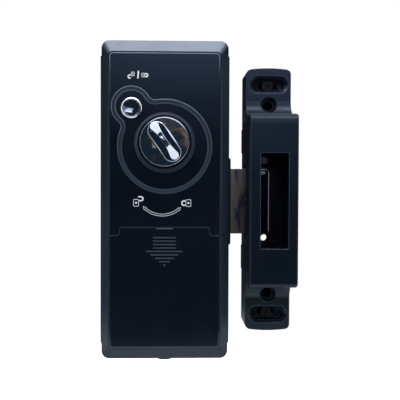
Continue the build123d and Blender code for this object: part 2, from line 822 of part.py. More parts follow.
# Rack screwed to the bolt's front, in mesh under the gear of the thumb turn, whose lowest tooth stands
# between two of the rack's at X = 0
rack_pitch = math.pi * gear_module
rack_flank = math.tan(math.radians(pressure_angle))
rack_working_teeth = math.ceil(bolt_throw / rack_pitch)
rack_left = -rack_spare_teeth * rack_pitch
rack_right = (rack_working_teeth + rack_spare_teeth) * rack_pitch
rack_root_z = rack_pitch_z - dedendum * gear_module
rack_tip_z = rack_pitch_z + addendum * gear_module
rack_screw_points = [(x, (rack_foot_z + rack_root_z) / 2) for x in (rack_pitch, bolt_throw - rack_pitch)]
with BuildPart() as bolt_rack:
    block(bolt_front, hub_front, (rack_left, rack_foot_z), (rack_right, rack_root_z))
    for tooth in range(-rack_spare_teeth, rack_working_teeth + rack_spare_teeth):
        middle = (tooth + 1 / 2) * rack_pitch
        half = rack_pitch / 4 - backlash / 4
        foot_half = half + (rack_pitch_z - rack_root_z) * rack_flank
        tip_half = half - (rack_tip_z - rack_pitch_z) * rack_flank
        with BuildSketch(front_plane(hub_back)):
            with BuildLine():
                Polyline(
                    (middle - foot_half, rack_root_z), (middle + foot_half, rack_root_z),
                    (middle + tip_half, rack_tip_z), (middle - tip_half, rack_tip_z), close=True,
                )
            make_face()
        extrude(amount=hub_width)
    discs(bolt_front, hub_front, rack_screw_points, m3_shank_r, mode=Mode.SUBTRACT)
bolt_rack.part.label = "bolt_rack"
export_step(bolt_rack.part, "parts/bolt_rack.step")

with BuildPart() as rack_screws:
    screws(rack_screw_points, hub_front, m3_head_r, m3_head_height, m3_shank_r, hub_width + hub_gap)
rack_screws.part.label = "rack_screws"
export_step(rack_screws.part, "parts/rack_screws.step")

# Two switches that see the rack at either end of its travel
with BuildPart() as position_switches:
    switch_seat = bolt_front + bolt_gap + chassis_thickness
    switch_top_z = rack_foot_z - switch_size
    for x in (0.0, bolt_throw):
        block(switch_seat, switch_seat + limit_switch_height,
              (x - switch_size, switch_top_z - switch_size), (x + switch_size, switch_top_z))
        block(switch_seat + limit_lever_height, switch_seat + 2 * limit_lever_height,
              (x - plunger_r, switch_top_z), (x + plunger_r, switch_top_z + limit_lever_rise))
position_switches.part.label = "position_switches"
export_step(position_switches.part, "parts/position_switches.step")

# Thumb turn: spindle with the socket for the outer unit's tailpiece
with BuildPart() as turn_spindle:
    discs(spindle_back, hub_back, [(0, turn_z)], spindle_rear_r)
    discs(hub_back, hub_front, [(0, turn_z)], spindle_hub_r)
    discs(hub_front, panel_front + knob_lift + knob_bore, [(0, turn_z)], spindle_front_r)
    discs(spindle_back, spindle_back + socket_depth, [(0, turn_z)], socket_r, mode=Mode.SUBTRACT)
turn_spindle.part.label = "turn_spindle"
export_step(turn_spindle.part, "parts/turn_spindle.step")

with BuildPart() as hub_gear:
    extrude(gear_outline(hub_back, (0, turn_z), hub_teeth, -half_turn / 2), amount=hub_width)
    discs(hub_back, hub_front, [(0, turn_z)], spindle_hub_r, mode=Mode.SUBTRACT)
hub_gear.part.label = "hub_gear"
export_step(hub_gear.part, "parts/hub_gear.step")

with BuildPart() as spindle_clip:
    clip_back = gear_plate_front + front_bush_flange_height + screw_clearance
    discs(clip_back, clip_back + clip_height, [(0, turn_z)], spindle_front_r + clip_reach)
    discs(clip_back, clip_back + clip_height, [(0, turn_z)], spindle_front_r, mode=Mode.SUBTRACT)
spindle_clip.part.label = "spindle_clip"
export_step(spindle_clip.part, "parts/spindle_clip.step")

# Chrome knob: a disc with a tapered blade whose crest is waisted, leaning towards the locked sign
knob_back = panel_front + knob_lift
knob_front = knob_back + knob_height
with BuildPart() as turn_knob:
    discs(knob_back, knob_front, [(0, turn_z)], knob_r)
    fillet(turn_knob.faces().sort_by(Axis.Y)[0].edges(), knob_edge_r)
    with BuildSketch(blade_plane(knob_front)):
        SlotOverall(blade_length, blade_foot_width)
    with BuildSketch(blade_plane(knob_front + blade_height)):
        with BuildLine():
            crest_half = blade_crest_width / 2
            crest_reach = blade_crest_length / 2 - crest_half
            upper = ThreePointArc((crest_reach, crest_half), (0, blade_waist / 2), (-crest_reach, crest_half))
            far = ThreePointArc(upper @ 1, (-crest_reach - crest_half, 0), (-crest_reach, -crest_half))
            lower = ThreePointArc(far @ 1, (0, -blade_waist / 2), (crest_reach, -crest_half))
            ThreePointArc(lower @ 1, (crest_reach + crest_half, 0), upper @ 0)
        make_face()
    loft()
    fillet(turn_knob.faces().sort_by(Axis.Y)[0].edges(), blade_edge_r)
    discs(knob_back, knob_back + knob_bore, [(0, turn_z)], spindle_front_r, mode=Mode.SUBTRACT)
turn_knob.part.label = "turn_knob"
export_step(turn_knob.part, "parts/turn_knob.step")

# Conical collar round the knob
with BuildPart() as turn_collar:
    collar_bore_r = knob_r + collar_gap
    discs(panel_front, panel_front + collar_foot_height, [(0, turn_z)], collar_foot_r)
    with BuildSketch(front_plane(panel_front + collar_foot_height)):
        with Locations((0, turn_z)):
            Circle(collar_foot_r)
    with BuildSketch(front_plane(panel_front + collar_height)):
        with Locations((0, turn_z)):
            Circle(collar_bore_r + collar_top_wall)
    loft()
    discs(panel_front, panel_front + collar_height, [(0, turn_z)], collar_bore_r, mode=Mode.SUBTRACT)
turn_collar.part.label = "turn_collar"
export_step(turn_collar.part, "parts/turn_collar.step")

# Bushes that the spindle turns in
with BuildPart() as rear_bush:
    discs(case_back, spindle_back + rear_bush_length, [(0, turn_z)],
          spindle_rear_r + running_gap + rear_bush_wall)
    discs(case_back, spindle_back + rear_bush_length, [(0, turn_z)], spindle_rear_r + running_gap,
          mode=Mode.SUBTRACT)
rear_bush.part.label = "rear_spindle_bush"
export_step(rear_bush.part, "parts/rear_spindle_bush.step")

with BuildPart() as front_bush:
    discs(gear_plate_back, gear_plate_front, [(0, turn_z)], spindle_front_r + front_bush_wall)
    discs(gear_plate_front, gear_plate_front + front_bush_flange_height, [(0, turn_z)],
          spindle_front_r + front_bush_wall + front_bush_flange)
    discs(gear_plate_back, gear_plate_front + front_bush_flange_height, [(0, turn_z)],
          spindle_front_r + running_gap, mode=Mode.SUBTRACT)
front_bush.part.label = "front_spindle_bush"
export_step(front_bush.part, "parts/front_spindle_bush.step")

# Plate that bears the front ends of the spindle and the idler's axle
with BuildPart() as gear_plate:
    with BuildSketch(front_plane(gear_plate_back)):
        with Locations(*gear_posts):
            Circle(gear_plate_margin)
        make_hull()
        with Locations((0, turn_z)):
            Circle(spindle_front_r + front_bush_wall, mode=Mode.SUBTRACT)
        with Locations((idler_x, idler_z)):
            Circle(axle_r, mode=Mode.SUBTRACT)
        with Locations(*gear_posts):
            Circle(m3_shank_r + screw_clearance, mode=Mode.SUBTRACT)
        with Locations(*cover_posts):
            Circle(cover_post_r + split_gap, mode=Mode.SUBTRACT)
    extrude(amount=gear_plate_thickness)
gear_plate.part.label = "gear_plate"
export_step(gear_plate.part, "parts/gear_plate.step")

with BuildPart() as gear_plate_screws:
    screws(gear_posts, gear_plate_front, m3_head_r, m3_head_height, m3_shank_r,
           gear_plate_thickness + screw_bite)
gear_plate_screws.part.label = "gear_plate_screws"
export_step(gear_plate_screws.part, "parts/gear_plate_screws.step")

# Idler: a small gear in mesh with the hub gear and a large one in mesh with the motor's pinion
with BuildPart() as compound_gear:
    idler = (idler_x, idler_z)
    small_direction = idler_direction + half_turn + half_turn / idler_small_teeth
    extrude(gear_outline(hub_back, idler, idler_small_teeth, small_direction), amount=hub_width + large_gap)
    extrude(gear_outline(large_back, idler, idler_large_teeth, motor_direction), amount=large_width)
    discs(hub_back, large_front, [idler], axle_r + running_gap, mode=Mode.SUBTRACT)
compound_gear.part.label = "compound_gear"
export_step(compound_gear.part, "parts/compound_gear.step")

with BuildPart() as gear_axle:
    discs(bolt_front - screw_bite, gear_plate_front, [(idler_x, idler_z)], axle_r)
gear_axle.part.label = "gear_axle"
export_step(gear_axle.part, "parts/gear_axle.step")

# Motor, its bracket and its pinion
with BuildPart() as drive_motor:
    with BuildSketch(front_plane(motor_back + motor_cap_length)):
        with Locations((motor_x, motor_z)):
            Circle(motor_r)
            Rectangle(2 * motor_r, 2 * motor_flat, mode=Mode.INTERSECT)
    extrude(amount=motor_length - motor_cap_length)
    discs(motor_front, motor_front + motor_nose, [(motor_x, motor_z)], motor_nose_r)
    discs(motor_front - screw_bite, motor_front + motor_nose, [(motor_x, motor_z)],
          motor_shaft_r + running_gap, mode=Mode.SUBTRACT)
drive_motor.part.label = "drive_motor"
export_step(drive_motor.part, "parts/drive_motor.step")

with BuildPart() as motor_cap:
    with BuildSketch(front_plane(motor_back)):
        with Locations((motor_x, motor_z)):
            Circle(motor_r)
            Rectangle(2 * motor_r, 2 * motor_flat, mode=Mode.INTERSECT)
    extrude(amount=motor_cap_length)
motor_cap.part.label = "motor_end_cap"
export_step(motor_cap.part, "parts/motor_end_cap.step")

with BuildPart() as motor_bracket:
    with BuildSketch(front_plane(motor_front)):
        with Locations(*bracket_points):
            Circle(bracket_margin)
        with Locations((motor_x, motor_z)):
            Circle(motor_r)
        make_hull()
        with Locations((motor_x, motor_z)):
            Circle(motor_nose_r, mode=Mode.SUBTRACT)
        with Locations(*bracket_points):
            Circle(m3_shank_r + screw_clearance, mode=Mode.SUBTRACT)
    extrude(amount=bracket_thickness)
motor_bracket.part.label = "motor_bracket"
export_step(motor_bracket.part, "parts/motor_bracket.step")

with BuildPart() as bracket_screws:
    screws(bracket_points, motor_front + bracket_thickness, m3_head_r, m3_head_height, m3_shank_r,
           bracket_thickness + screw_bite)
bracket_screws.part.label = "bracket_screws"
export_step(bracket_screws.part, "parts/bracket_screws.step")

with BuildPart() as motor_shaft:
    discs(motor_front - screw_bite + running_gap, large_front, [(motor_x, motor_z)], motor_shaft_r)
motor_shaft.part.label = "motor_shaft"
export_step(motor_shaft.part, "parts/motor_shaft.step")

with BuildPart() as motor_pinion:
    extrude(gear_outline(large_back, (motor_x, motor_z), motor_teeth,
                         motor_direction + half_turn + half_turn / motor_teeth), amount=large_width)
    discs(large_back, large_front, [(motor_x, motor_z)], motor_shaft_r, mode=Mode.SUBTRACT)
motor_pinion.part.label = "motor_pinion"
export_step(motor_pinion.part, "parts/motor_pinion.step")

# Control board with what stands on it
with BuildPart() as control_board:
    with BuildSketch(front_plane(board_back)):
        with Locations(board_middle):
            RectangleRounded(board_right - board_left, board_top - board_bottom, board_corner_r)
        with Locations(*board_posts):
            Circle(m3_shank_r + screw_clearance, mode=Mode.SUBTRACT)
    extrude(amount=board_thickness)
control_board.part.label = "control_board"
export_step(control_board.part, "parts/control_board.step")

with BuildPart() as board_screws:
    screws(board_posts, board_front, m3_head_r, m3_head_height, m3_shank_r,
           board_thickness + screw_bite)
board_screws.part.label = "board_screws"
export_step(board_screws.part, "parts/board_screws.step")

with BuildPart() as board_chips:
    for right, rise, width, height in (chip_processor, chip_driver, chip_memory):
        with BuildSketch(front_plane(board_front)):
            with Locations((board_middle[0] + right, board_middle[1] + rise)):
                Rectangle(width, height)
        extrude(amount=chip_height)
board_chips.part.label = "board_chips"
export_step(board_chips.part, "parts/board_chips.step")

buzzer_at = (board_middle[0] + buzzer_offset[0], board_middle[1] + buzzer_offset[1])
with BuildPart() as buzzer:
    discs(board_front, board_front + buzzer_height, [buzzer_at], buzzer_r)
    discs(board_front + buzzer_height / 2, board_front + buzzer_height, [buzzer_at], buzzer_hole_r,
          mode=Mode.SUBTRACT)
buzzer.part.label = "buzzer"
export_step(buzzer.part, "parts/buzzer.step")

with BuildPart() as cable_socket:
    block(board_back - socket_length, board_back,
          (cable_x - socket_width / 2, cable_z - socket_height / 2),
          (cable_x + socket_width / 2, cable_z + socket_height / 2))
    block(board_back - socket_length, board_back - socket_wall,
          (cable_x - socket_width / 2 + socket_wall, cable_z - socket_height / 2 + socket_wall),
          (cable_x + socket_width / 2 - socket_wall, cable_z + socket_height / 2 - socket_wall),
          mode=Mode.SUBTRACT)
cable_socket.part.label = "cable_socket"
export_step(cable_socket.part, "parts/cable_socket.step")

# Push button: bezel, cap, plunger and the switch under it
with BuildPart() as button_bezel:
    sleeve_r = button_r + button_gap + bezel_sleeve_wall
    discs(panel_back, panel_front, [(button_x, button_z)], sleeve_r)
    discs(panel_front, panel_front + bezel_height, [(button_x, button_z)],
          button_r + button_gap + bezel_wall)
    fillet(button_bezel.faces().sort_by(Axis.Y)[0].edges(), bezel_edge_r)
    discs(panel_back, panel_front + bezel_height, [(button_x, button_z)], button_r + button_gap,
          mode=Mode.SUBTRACT)
button_bezel.part.label = "button_bezel"
export_step(button_bezel.part, "parts/button_bezel.step")

with BuildPart() as button_cap:
    discs(cap_back, cap_back + button_skirt, [(button_x, button_z)], button_r + button_skirt)
    discs(cap_back, panel_front + bezel_height, [(button_x, button_z)], button_r)
    fillet(button_cap.faces().sort_by(Axis.Y)[0].edges(), button_crown)
    dish_half = button_r - button_crown
    dish_r = (dish_half ** 2 + button_dish ** 2) / (2 * button_dish)
    with Locations((button_x, button_dish - dish_r - panel_front - bezel_height, button_z)):
        Sphere(dish_r, mode=Mode.SUBTRACT)
button_cap.part.label = "button_cap"
export_step(button_cap.part, "parts/button_cap.step")

with BuildPart() as switch_plunger:
    discs(board_front + plunger_floor + button_travel, cap_back, [(button_x, button_z)], plunger_r)
switch_plunger.part.label = "switch_plunger"
export_step(switch_plunger.part, "parts/switch_plunger.step")

with BuildPart() as button_switch:
    block(board_front, button_seat,
          (button_x - switch_size / 2, button_z - switch_size / 2),
          (button_x + switch_size / 2, button_z + switch_size / 2))
    discs(board_front + plunger_floor / 2, button_seat, [(button_x, button_z)], plunger_r + plunger_gap,
          mode=Mode.SUBTRACT)
button_switch.part.label = "button_switch"
export_step(button_switch.part, "parts/button_switch.step")

# Battery tray with its cells, contacts and springs
with BuildPart() as battery_tray:
    block(tray_back, tray_back + tray_depth,
          (-tray_half_width, tray_bottom_z), (tray_half_width, tray_top_z))
    block(tray_inner_back, tray_back + tray_depth,
          (-tray_half_width + tray_wall, tray_inner_bottom), (tray_half_width - tray_wall, tray_inner_top),
          mode=Mode.SUBTRACT)
battery_tray.part.label = "battery_tray"
export_step(battery_tray.part, "parts/battery_tray.step")

with BuildPart() as battery_contacts:
    for i, x in enumerate(cell_xs):
        nub_end, flat_end = (tray_inner_top, tray_inner_bottom) if i % 2 == 0 else (
            tray_inner_bottom, tray_inner_top)
        for z in (nub_end, flat_end):
            inward = -contact_thickness if z == tray_inner_top else contact_thickness
            low, high = sorted((z, z + inward))
            block(tray_inner_back, tray_inner_back + contact_width,
                  (x - contact_width / 2, low), (x + contact_width / 2, high))
battery_contacts.part.label = "battery_contacts"
export_step(battery_contacts.part, "parts/battery_contacts.step")

with BuildPart() as battery_cells:
    for i, x in enumerate(cell_xs):
        nub_up = i % 2 == 0
        nub_tip = tray_inner_top - contact_thickness if nub_up else tray_inner_bottom + contact_thickness
        step = -1 if nub_up else 1
        with BuildSketch(Plane.XY.offset(nub_tip)):
            with Locations((x, -cell_depth)):
                Circle(nub_r)
        extrude(amount=step * nub_height)
        with BuildSketch(Plane.XY.offset(nub_tip + step * nub_height)):
            with Locations((x, -cell_depth)):
                Circle(cell_r)
        extrude(amount=step * cell_body)
battery_cells.part.label = "battery_cells"
export_step(battery_cells.part, "parts/battery_cells.step")

with BuildPart() as battery_springs:
    for i, x in enumerate(cell_xs):
        foot = tray_inner_bottom + contact_thickness if i % 2 == 0 else tray_inner_top - contact_thickness
        step = 1 if i % 2 == 0 else -1
        with BuildSketch(Plane.XY.offset(foot)):
            with Locations((x, -cell_depth)):
                Circle(spring_foot_r)
        with BuildSketch(Plane.XY.offset(foot + step * spring_room)):
            with Locations((x, -cell_depth)):
                Circle(spring_tip_r)
        loft()
        with BuildSketch(Plane.XY.offset(foot)):
            with Locations((x, -cell_depth)):
                Circle(spring_foot_r - spring_wire)
        with BuildSketch(Plane.XY.offset(foot + step * spring_room)):
            with Locations((x, -cell_depth)):
                Circle(spring_tip_r - spring_wire)
        loft(mode=Mode.SUBTRACT)
battery_springs.part.label = "battery_springs"
export_step(battery_springs.part, "parts/battery_springs.step")

# Steel base of the strike, fixed to the door frame
with BuildPart() as strike_outline:
    with BuildSketch(front_plane(0)) as strike_plan:
        with BuildLine():
            half_height = strike_height / 2
            shoulder = half_height - strike_crown
            right = Line((strike_right, strike_z - shoulder), (strike_right, strike_z + shoulder))
            crown = (strike_x, strike_z + half_height)
            top = ThreePointArc(right @ 1, crown, (strike_left, strike_z + shoulder))
            left = Line(top @ 1, (strike_left, strike_z - shoulder))
            ThreePointArc(left @ 1, (strike_x, strike_z - half_height), right @ 0)
        make_face()
        fillet(strike_plan.vertices(), strike_corner_r)
    extrude(amount=box_front)

with BuildPart() as strike_base:
    add(strike_outline.part)
    block(0, base_thickness, (strike_left, strike_z - half_height), (strike_right, strike_z + half_height),
          mode=Mode.INTERSECT)
    discs(0, base_thickness, frame_points, frame_hole_r, mode=Mode.SUBTRACT)
    discs(0, base_thickness, [back_hole_point], frame_hole_r, mode=Mode.SUBTRACT)
    discs(0, base_thickness, [magnet_point], magnet_r, mode=Mode.SUBTRACT)
    discs(0, base_thickness, slot_points, m4_shank_r, mode=Mode.SUBTRACT)
strike_base.part.label = "strike_base"
export_step(strike_base.part, "parts/strike_base.step")

with BuildPart() as strike_magnet:
    discs(base_thickness - magnet_length, base_thickness, [magnet_point], magnet_r)
strike_magnet.part.label = "strike_magnet"
export_step(strike_magnet.part, "parts/strike_magnet.step")

# Strike housing: two ears, and between them the box that takes the bolt
with BuildPart() as strike_housing:
    with BuildSketch(side_plane(strike_left)) as profile:
        with BuildLine():
            half = []
            for side in (1, -1):
                end_z = strike_z + side * strike_height
                wall_z = strike_z + side * box_half
                foot = Line((-housing_back, end_z), (-ear_front, end_z))
                ear = Line(foot @ 1, (-ear_front, wall_z + side * box_blend_r))
                hollow = RadiusArc(ear @ 1, (-ear_front - box_blend_r, wall_z), side * box_blend_r)
                wall = Line(hollow @ 1, (-box_front + box_edge_r, wall_z))
                edge = RadiusArc(wall @ 1, (-box_front, wall_z - side * box_edge_r), -side * box_edge_r)
                half.append((foot @ 0, edge @ 1))
            Line(half[0][0], half[1][0])
            Line(half[0][1], half[1][1])
        make_face()
    extrude(amount=strike_width)
    soft_edges = strike_housing.faces().sort_by(Axis.X)[-1].edges()
    soft_edges = soft_edges.filter_by(lambda e: e.center().Y < -ear_front + slide_gap)
    fillet(soft_edges, box_side_r)
    add(strike_outline.part, mode=Mode.INTERSECT)
    block(housing_back, pocket_front,
          (strike_left + strike_wall, strike_z - pocket_height / 2),
          (strike_right - strike_wall, strike_z + pocket_height / 2), mode=Mode.SUBTRACT)
    block(pocket_front, box_front,
          (strike_x - window_width / 2, strike_z - window_height / 2),
          (strike_x + window_width / 2, strike_z + window_height / 2), mode=Mode.SUBTRACT)
    for side in (-1, 1):
        low, high = sorted((strike_z + side * (pocket_height / 2 + end_pocket_margin),
                            strike_z + side * (box_half - end_pocket_margin)))
        block(housing_back, pocket_front - end_pocket_margin,
              (strike_left + strike_wall, low), (strike_right - strike_wall, high), mode=Mode.SUBTRACT)
    block(keeper_back, keeper_front, (strike_left - strike_wall, keeper_low_z),
          (strike_left + strike_wall, keeper_high_z), mode=Mode.SUBTRACT)
    with BuildSketch(front_plane(slot_floor)):
        with Locations(*slot_points):
            SlotOverall(slot_length, slot_width)
    extrude(amount=ear_front - slot_floor, mode=Mode.SUBTRACT)
    for point in slot_points:
        with BuildSketch(front_plane(ear_front - slot_rim_depth)):
            with Locations(point):
                SlotOverall(slot_length, slot_width)
        with BuildSketch(front_plane(ear_front)):
            with Locations(point):
                SlotOverall(slot_rim_length, slot_rim_width)
        loft(mode=Mode.SUBTRACT)
    with BuildSketch(front_plane(housing_back)):
        with Locations(*slot_points):
            SlotOverall(2 * (adjust_travel + m4_shank_r + head_clearance), 2 * (m4_shank_r + head_clearance))
    extrude(amount=slot_floor - housing_back, mode=Mode.SUBTRACT)
    discs(ear_front - lock_head_depth, box_front, lock_points, lock_head_r, mode=Mode.SUBTRACT)
    discs(housing_back, ear_front - lock_head_depth, lock_points, lock_hole_r, mode=Mode.SUBTRACT)
strike_housing.part.label = "strike_housing"
export_step(strike_housing.part, "parts/strike_housing.step")

# Steel plate on the strike's mouth
with BuildPart() as strike_liner:
    with BuildSketch(side_plane(strike_left)):
        with BuildLine():
            Polyline(
                (-liner_back, strike_z + liner_foot_reach), (-liner_front, strike_z + liner_top_reach),
                (-liner_front, strike_z - liner_top_reach), (-liner_back, strike_z - liner_foot_reach),
                close=True,
            )
        make_face()
    extrude(amount=-liner_thickness)
    block(0, keeper_front, (strike_left - liner_thickness, strike_z - liner_notch_reach),
          (strike_left, strike_z + liner_notch_reach), mode=Mode.SUBTRACT)
strike_liner.part.label = "strike_liner"
export_step(strike_liner.part, "parts/strike_liner.step")

# Screws that clamp the housing on its base through the slots
with BuildPart() as strike_screws:
    screws(slot_points, slot_floor, m4_head_r, m4_head_height, m4_shank_r, slot_floor - screw_clearance)
strike_screws.part.label = "strike_screws"
export_step(strike_screws.part, "parts/strike_screws.step")
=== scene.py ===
"""Finishes, fine surfaces and studio of a rim-mounted smart door lock with its strike.

Everything stands in the lock's own frame, in metres: the door's face is the plane Y = 0 and the lock
stands forward of it, towards -Y. X = 0, Z = 0 is the middle of the case. "Depth" is the distance forward
of the door.
"""
import functools
import json
import math

import bpy
import numpy as np
from bpy.props import FloatProperty, FloatVectorProperty, IntProperty, PointerProperty
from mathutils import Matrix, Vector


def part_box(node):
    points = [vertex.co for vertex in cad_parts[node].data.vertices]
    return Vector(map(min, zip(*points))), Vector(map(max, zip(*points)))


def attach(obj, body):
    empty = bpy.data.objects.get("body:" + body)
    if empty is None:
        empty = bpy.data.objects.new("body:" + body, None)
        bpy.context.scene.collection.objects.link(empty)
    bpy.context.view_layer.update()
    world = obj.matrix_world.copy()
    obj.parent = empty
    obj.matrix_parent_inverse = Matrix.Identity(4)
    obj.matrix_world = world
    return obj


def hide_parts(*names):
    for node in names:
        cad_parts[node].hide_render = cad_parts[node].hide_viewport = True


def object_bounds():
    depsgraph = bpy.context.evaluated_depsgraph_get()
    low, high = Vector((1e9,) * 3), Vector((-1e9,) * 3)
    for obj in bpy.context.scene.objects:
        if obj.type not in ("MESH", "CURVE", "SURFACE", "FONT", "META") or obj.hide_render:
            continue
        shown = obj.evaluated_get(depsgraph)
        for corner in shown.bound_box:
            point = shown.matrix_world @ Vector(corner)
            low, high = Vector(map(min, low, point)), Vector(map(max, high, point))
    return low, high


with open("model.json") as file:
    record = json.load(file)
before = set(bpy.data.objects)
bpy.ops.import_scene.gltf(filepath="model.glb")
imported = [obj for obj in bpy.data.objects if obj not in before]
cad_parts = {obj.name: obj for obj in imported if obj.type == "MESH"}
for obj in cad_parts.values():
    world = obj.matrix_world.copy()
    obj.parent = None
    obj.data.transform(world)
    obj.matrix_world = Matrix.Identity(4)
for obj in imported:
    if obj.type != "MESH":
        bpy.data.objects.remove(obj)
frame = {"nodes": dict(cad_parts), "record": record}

bl_info = {
    "name": "Rim door lock",
    "version": (1, 0, 0),
    "blender": (4, 5, 0),
    "location": "View3D > Sidebar > Door lock",
    "description": "Dresses the packed door lock: finishes, turned and wound pieces, printed signs, studio",
    "category": "Object",
}

MM = 0.001
MICRON = 0.001 * MM
CAD_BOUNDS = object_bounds()
PANEL_DEPTH = -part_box("turn_collar")[1].y
FORWARD = np.array((0.0, -1.0, 0.0))


def middle(node):
    """The middle of a node's box at rest."""
    low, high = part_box(node)
    return (low + high) / 2


def half_width(node):
    """Half the width of a node's box, which is the radius of a node that is round from the front."""
    low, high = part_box(node)
    return (high.x - low.x) / 2


def mm(*lengths, past=0.0):
    """Lengths given in millimetres, as metres past a place."""
    return [past + length * MM for length in lengths]


def scaled(colour, factor):
    """A colour made darker or lighter by a factor."""
    return np.array(colour) * factor


# Surfaces worked out on grids


def ring_quads(rings, columns, wrap=False):
    """Quads between each ring of points and the next; with wrap, the last ring joins the first."""
    row, column = np.meshgrid(np.arange(rings if wrap else rings - 1), np.arange(columns), indexing="ij")
    above, beside = (row + 1) % rings, (column + 1) % columns
    corners = (
        row * columns + column, row * columns + beside, above * columns + beside, above * columns + column,
    )
    return np.stack(corners, axis=-1).reshape(-1, 4)


def outward(points, faces):
    """Turns every face round if the solid's signed volume is below nought.

    The volume is a sixth of the sum, over each face's fan of triangles, of a . (b x c).
    """
    volume = sum(
        np.einsum("ij,ij->i", points[f[:, 0]], np.cross(points[f[:, k]], points[f[:, k + 1]])).sum()
        for f in faces for k in range(1, f.shape[1] - 1)
    )
    return [f[:, ::-1] if volume < 0 else f for f in faces]


def loop_solid(rings):
    """A closed solid like a tyre: rings of shape (rings, columns, 3), the last joined to the first."""
    points = rings.reshape(-1, 3)
    return points, outward(points, [ring_quads(rings.shape[0], rings.shape[1], wrap=True)])


def capped_solid(start, rings, end):
    """A closed solid from a first pole through rings of points to a last pole."""
    count, columns = rings.shape[:2]
    points = np.concatenate([[start], rings.reshape(-1, 3), [end]])
    here = np.arange(columns)
    beside = (here + 1) % columns
    first = np.stack([np.zeros_like(here), 1 + beside, 1 + here], axis=-1)
    top = 1 + (count - 1) * columns
    last = np.stack([top + here, top + beside, np.full_like(here, len(points) - 1)], axis=-1)
    return points, outward(points, [ring_quads(count, columns) + 1, first, last])


def joined(solids):
    """Several solids as one list of points and faces."""
    points, faces, start = [], [], 0
    for solid_points, solid_faces in solids:
        points.append(solid_points)
        faces += [f + start for f in solid_faces]
        start += len(solid_points)
    return np.concatenate(points), faces


def lathe(profile, columns, centre, axis, across):
    """Rings of a turned shape.

    A ring at a profile point (radius r, height h) is centre + h axis + r (cos a across + sin a axis x
    across), for the angle a going once round in even steps.
    """
    axis, across = np.asarray(axis, float), np.asarray(across, float)
    angle = np.linspace(0.0, 2 * np.pi, columns, endpoint=False)
    spoke = np.cos(angle)[:, None] * across + np.sin(angle)[:, None] * np.cross(axis, across)
    profile = np.asarray(profile, float)
    return np.asarray(centre) + profile[:, None, 1:] * axis + profile[:, None, :1] * spoke


def arc(centre, radius, start, end, steps):
    """Points (x, y) on an arc between two angles in degrees."""
    angle = np.radians(np.linspace(start, end, steps))
    return np.stack([centre[0] + radius * np.cos(angle), centre[1] + radius * np.sin(angle)], axis=-1)


def tube(path, wire, columns):
    """Rings of a round wire along a path.

    The tangent t is the path's central difference. The first spoke is t x (axis of the coil), here Z,
    made a unit vector, the second t x spoke, and a ring is path + wire (cos a spoke1 + sin a spoke2).
    """
    tangent = np.gradient(path, axis=0)
    tangent /= np.linalg.norm(tangent, axis=1, keepdims=True)
    side = np.cross(tangent, (0.0, 0.0, 1.0))
    side /= np.linalg.norm(side, axis=1, keepdims=True)
    other = np.cross(tangent, side)
    angle = np.linspace(0.0, 2 * np.pi, columns, endpoint=False)[None, :, None]
    return path[:, None] + wire * (np.cos(angle) * side[:, None] + np.sin(angle) * other[:, None])


def body_of(node):
    """The name of the body that a CAD node rides on."""
    return next(body for body, nodes in frame["record"]["behaviour"]["bodies"].items() if node in nodes)


def piece(name, solid, node, finish_name, crease=35.0, replaces=True):
    """Makes a solid an object with a finish, which rides with a node and may replace it.

    It is smooth except over angles past crease, in degrees.
    """
    points, faces = solid
    mesh = bpy.data.meshes.new(name)
    mesh.from_pydata(points.tolist(), [], [row for f in faces for row in f.tolist()])
    mesh.polygons.foreach_set("use_smooth", np.ones(len(mesh.polygons), bool))
    mesh.set_sharp_from_angle(angle=math.radians(crease))
    made = bpy.data.objects.new(name, mesh)
    bpy.context.scene.collection.objects.link(made)
    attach(made, body_of(node))
    if replaces:
        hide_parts(node)
    dress(made, finish_name)
    return made


# Shader nodes: a helper that isn't given a tree adds to the tree of the output that it works on


def put(tree, kind, inputs=None, **settings):
    """Adds a shader node; an input is a value, or another node's output that is linked to it."""
    made = tree.nodes.new(kind)
    for name, value in settings.items():
        setattr(made, name, value)
    for key, value in (inputs or {}).items():
        if isinstance(value, bpy.types.NodeSocket):
            tree.links.new(value, made.inputs[key])
        else:
            made.inputs[key].default_value = value
    return made


def maths(operation, first, second=0.0, clamp=False):
    """The output of a Math node."""
    tree = (first if isinstance(first, bpy.types.NodeSocket) else second).id_data
    made = put(tree, "ShaderNodeMath", {0: first, 1: second}, operation=operation, use_clamp=clamp)
    return made.outputs[0]


def times(*values):
    """The product of values."""
    return functools.reduce(lambda first, second: maths("MULTIPLY", first, second), values)


def most(first, second):
    """The greater of two values."""
    return maths("MAXIMUM", first, second)


def add_where(value, mask, amount):
    """A value with an amount added to it where a mask is 1."""
    return maths("ADD", value, times(mask, amount))


def vectors(operation, first, second=(0.0, 0.0, 0.0)):
    """The output of a Vector Math node: a number for a length, a distance or a dot product."""
    made = put(first.id_data, "ShaderNodeVectorMath", {0: first, 1: second}, operation=operation)
    return made.outputs["Value" if operation in ("LENGTH", "DISTANCE", "DOT_PRODUCT") else "Vector"]


def noise(place, scale, detail):
    """The value of a noise texture."""
    inputs = {"Vector": place, "Scale": scale, "Detail": detail}
    return put(place.id_data, "ShaderNodeTexNoise", inputs).outputs["Fac"]


def ramp(value, low, high, to_low=0.0, to_high=1.0, soft=False):
    """Carries low..high to to_low..to_high and holds the ends."""
    kind = "SMOOTHSTEP" if soft else "LINEAR"
    inputs = {"Value": value, "From Min": low, "From Max": high, "To Min": to_low, "To Max": to_high}
    return put(value.id_data, "ShaderNodeMapRange", inputs, interpolation_type=kind).outputs["Result"]


def band(value, start, full, last, end):
    """A mask that rises from start to full, holds to last and falls to end."""
    return times(ramp(value, start, full, soft=True), ramp(value, end, last, soft=True))


def within(values, soft=False, **limits):
    """The product of a mask for each value with limits: a ramp between two of them, a band between four."""
    return times(*(
        band(values[name], *at) if len(at) == 4 else ramp(values[name], *at, soft=soft)
        for name, at in limits.items()
    ))


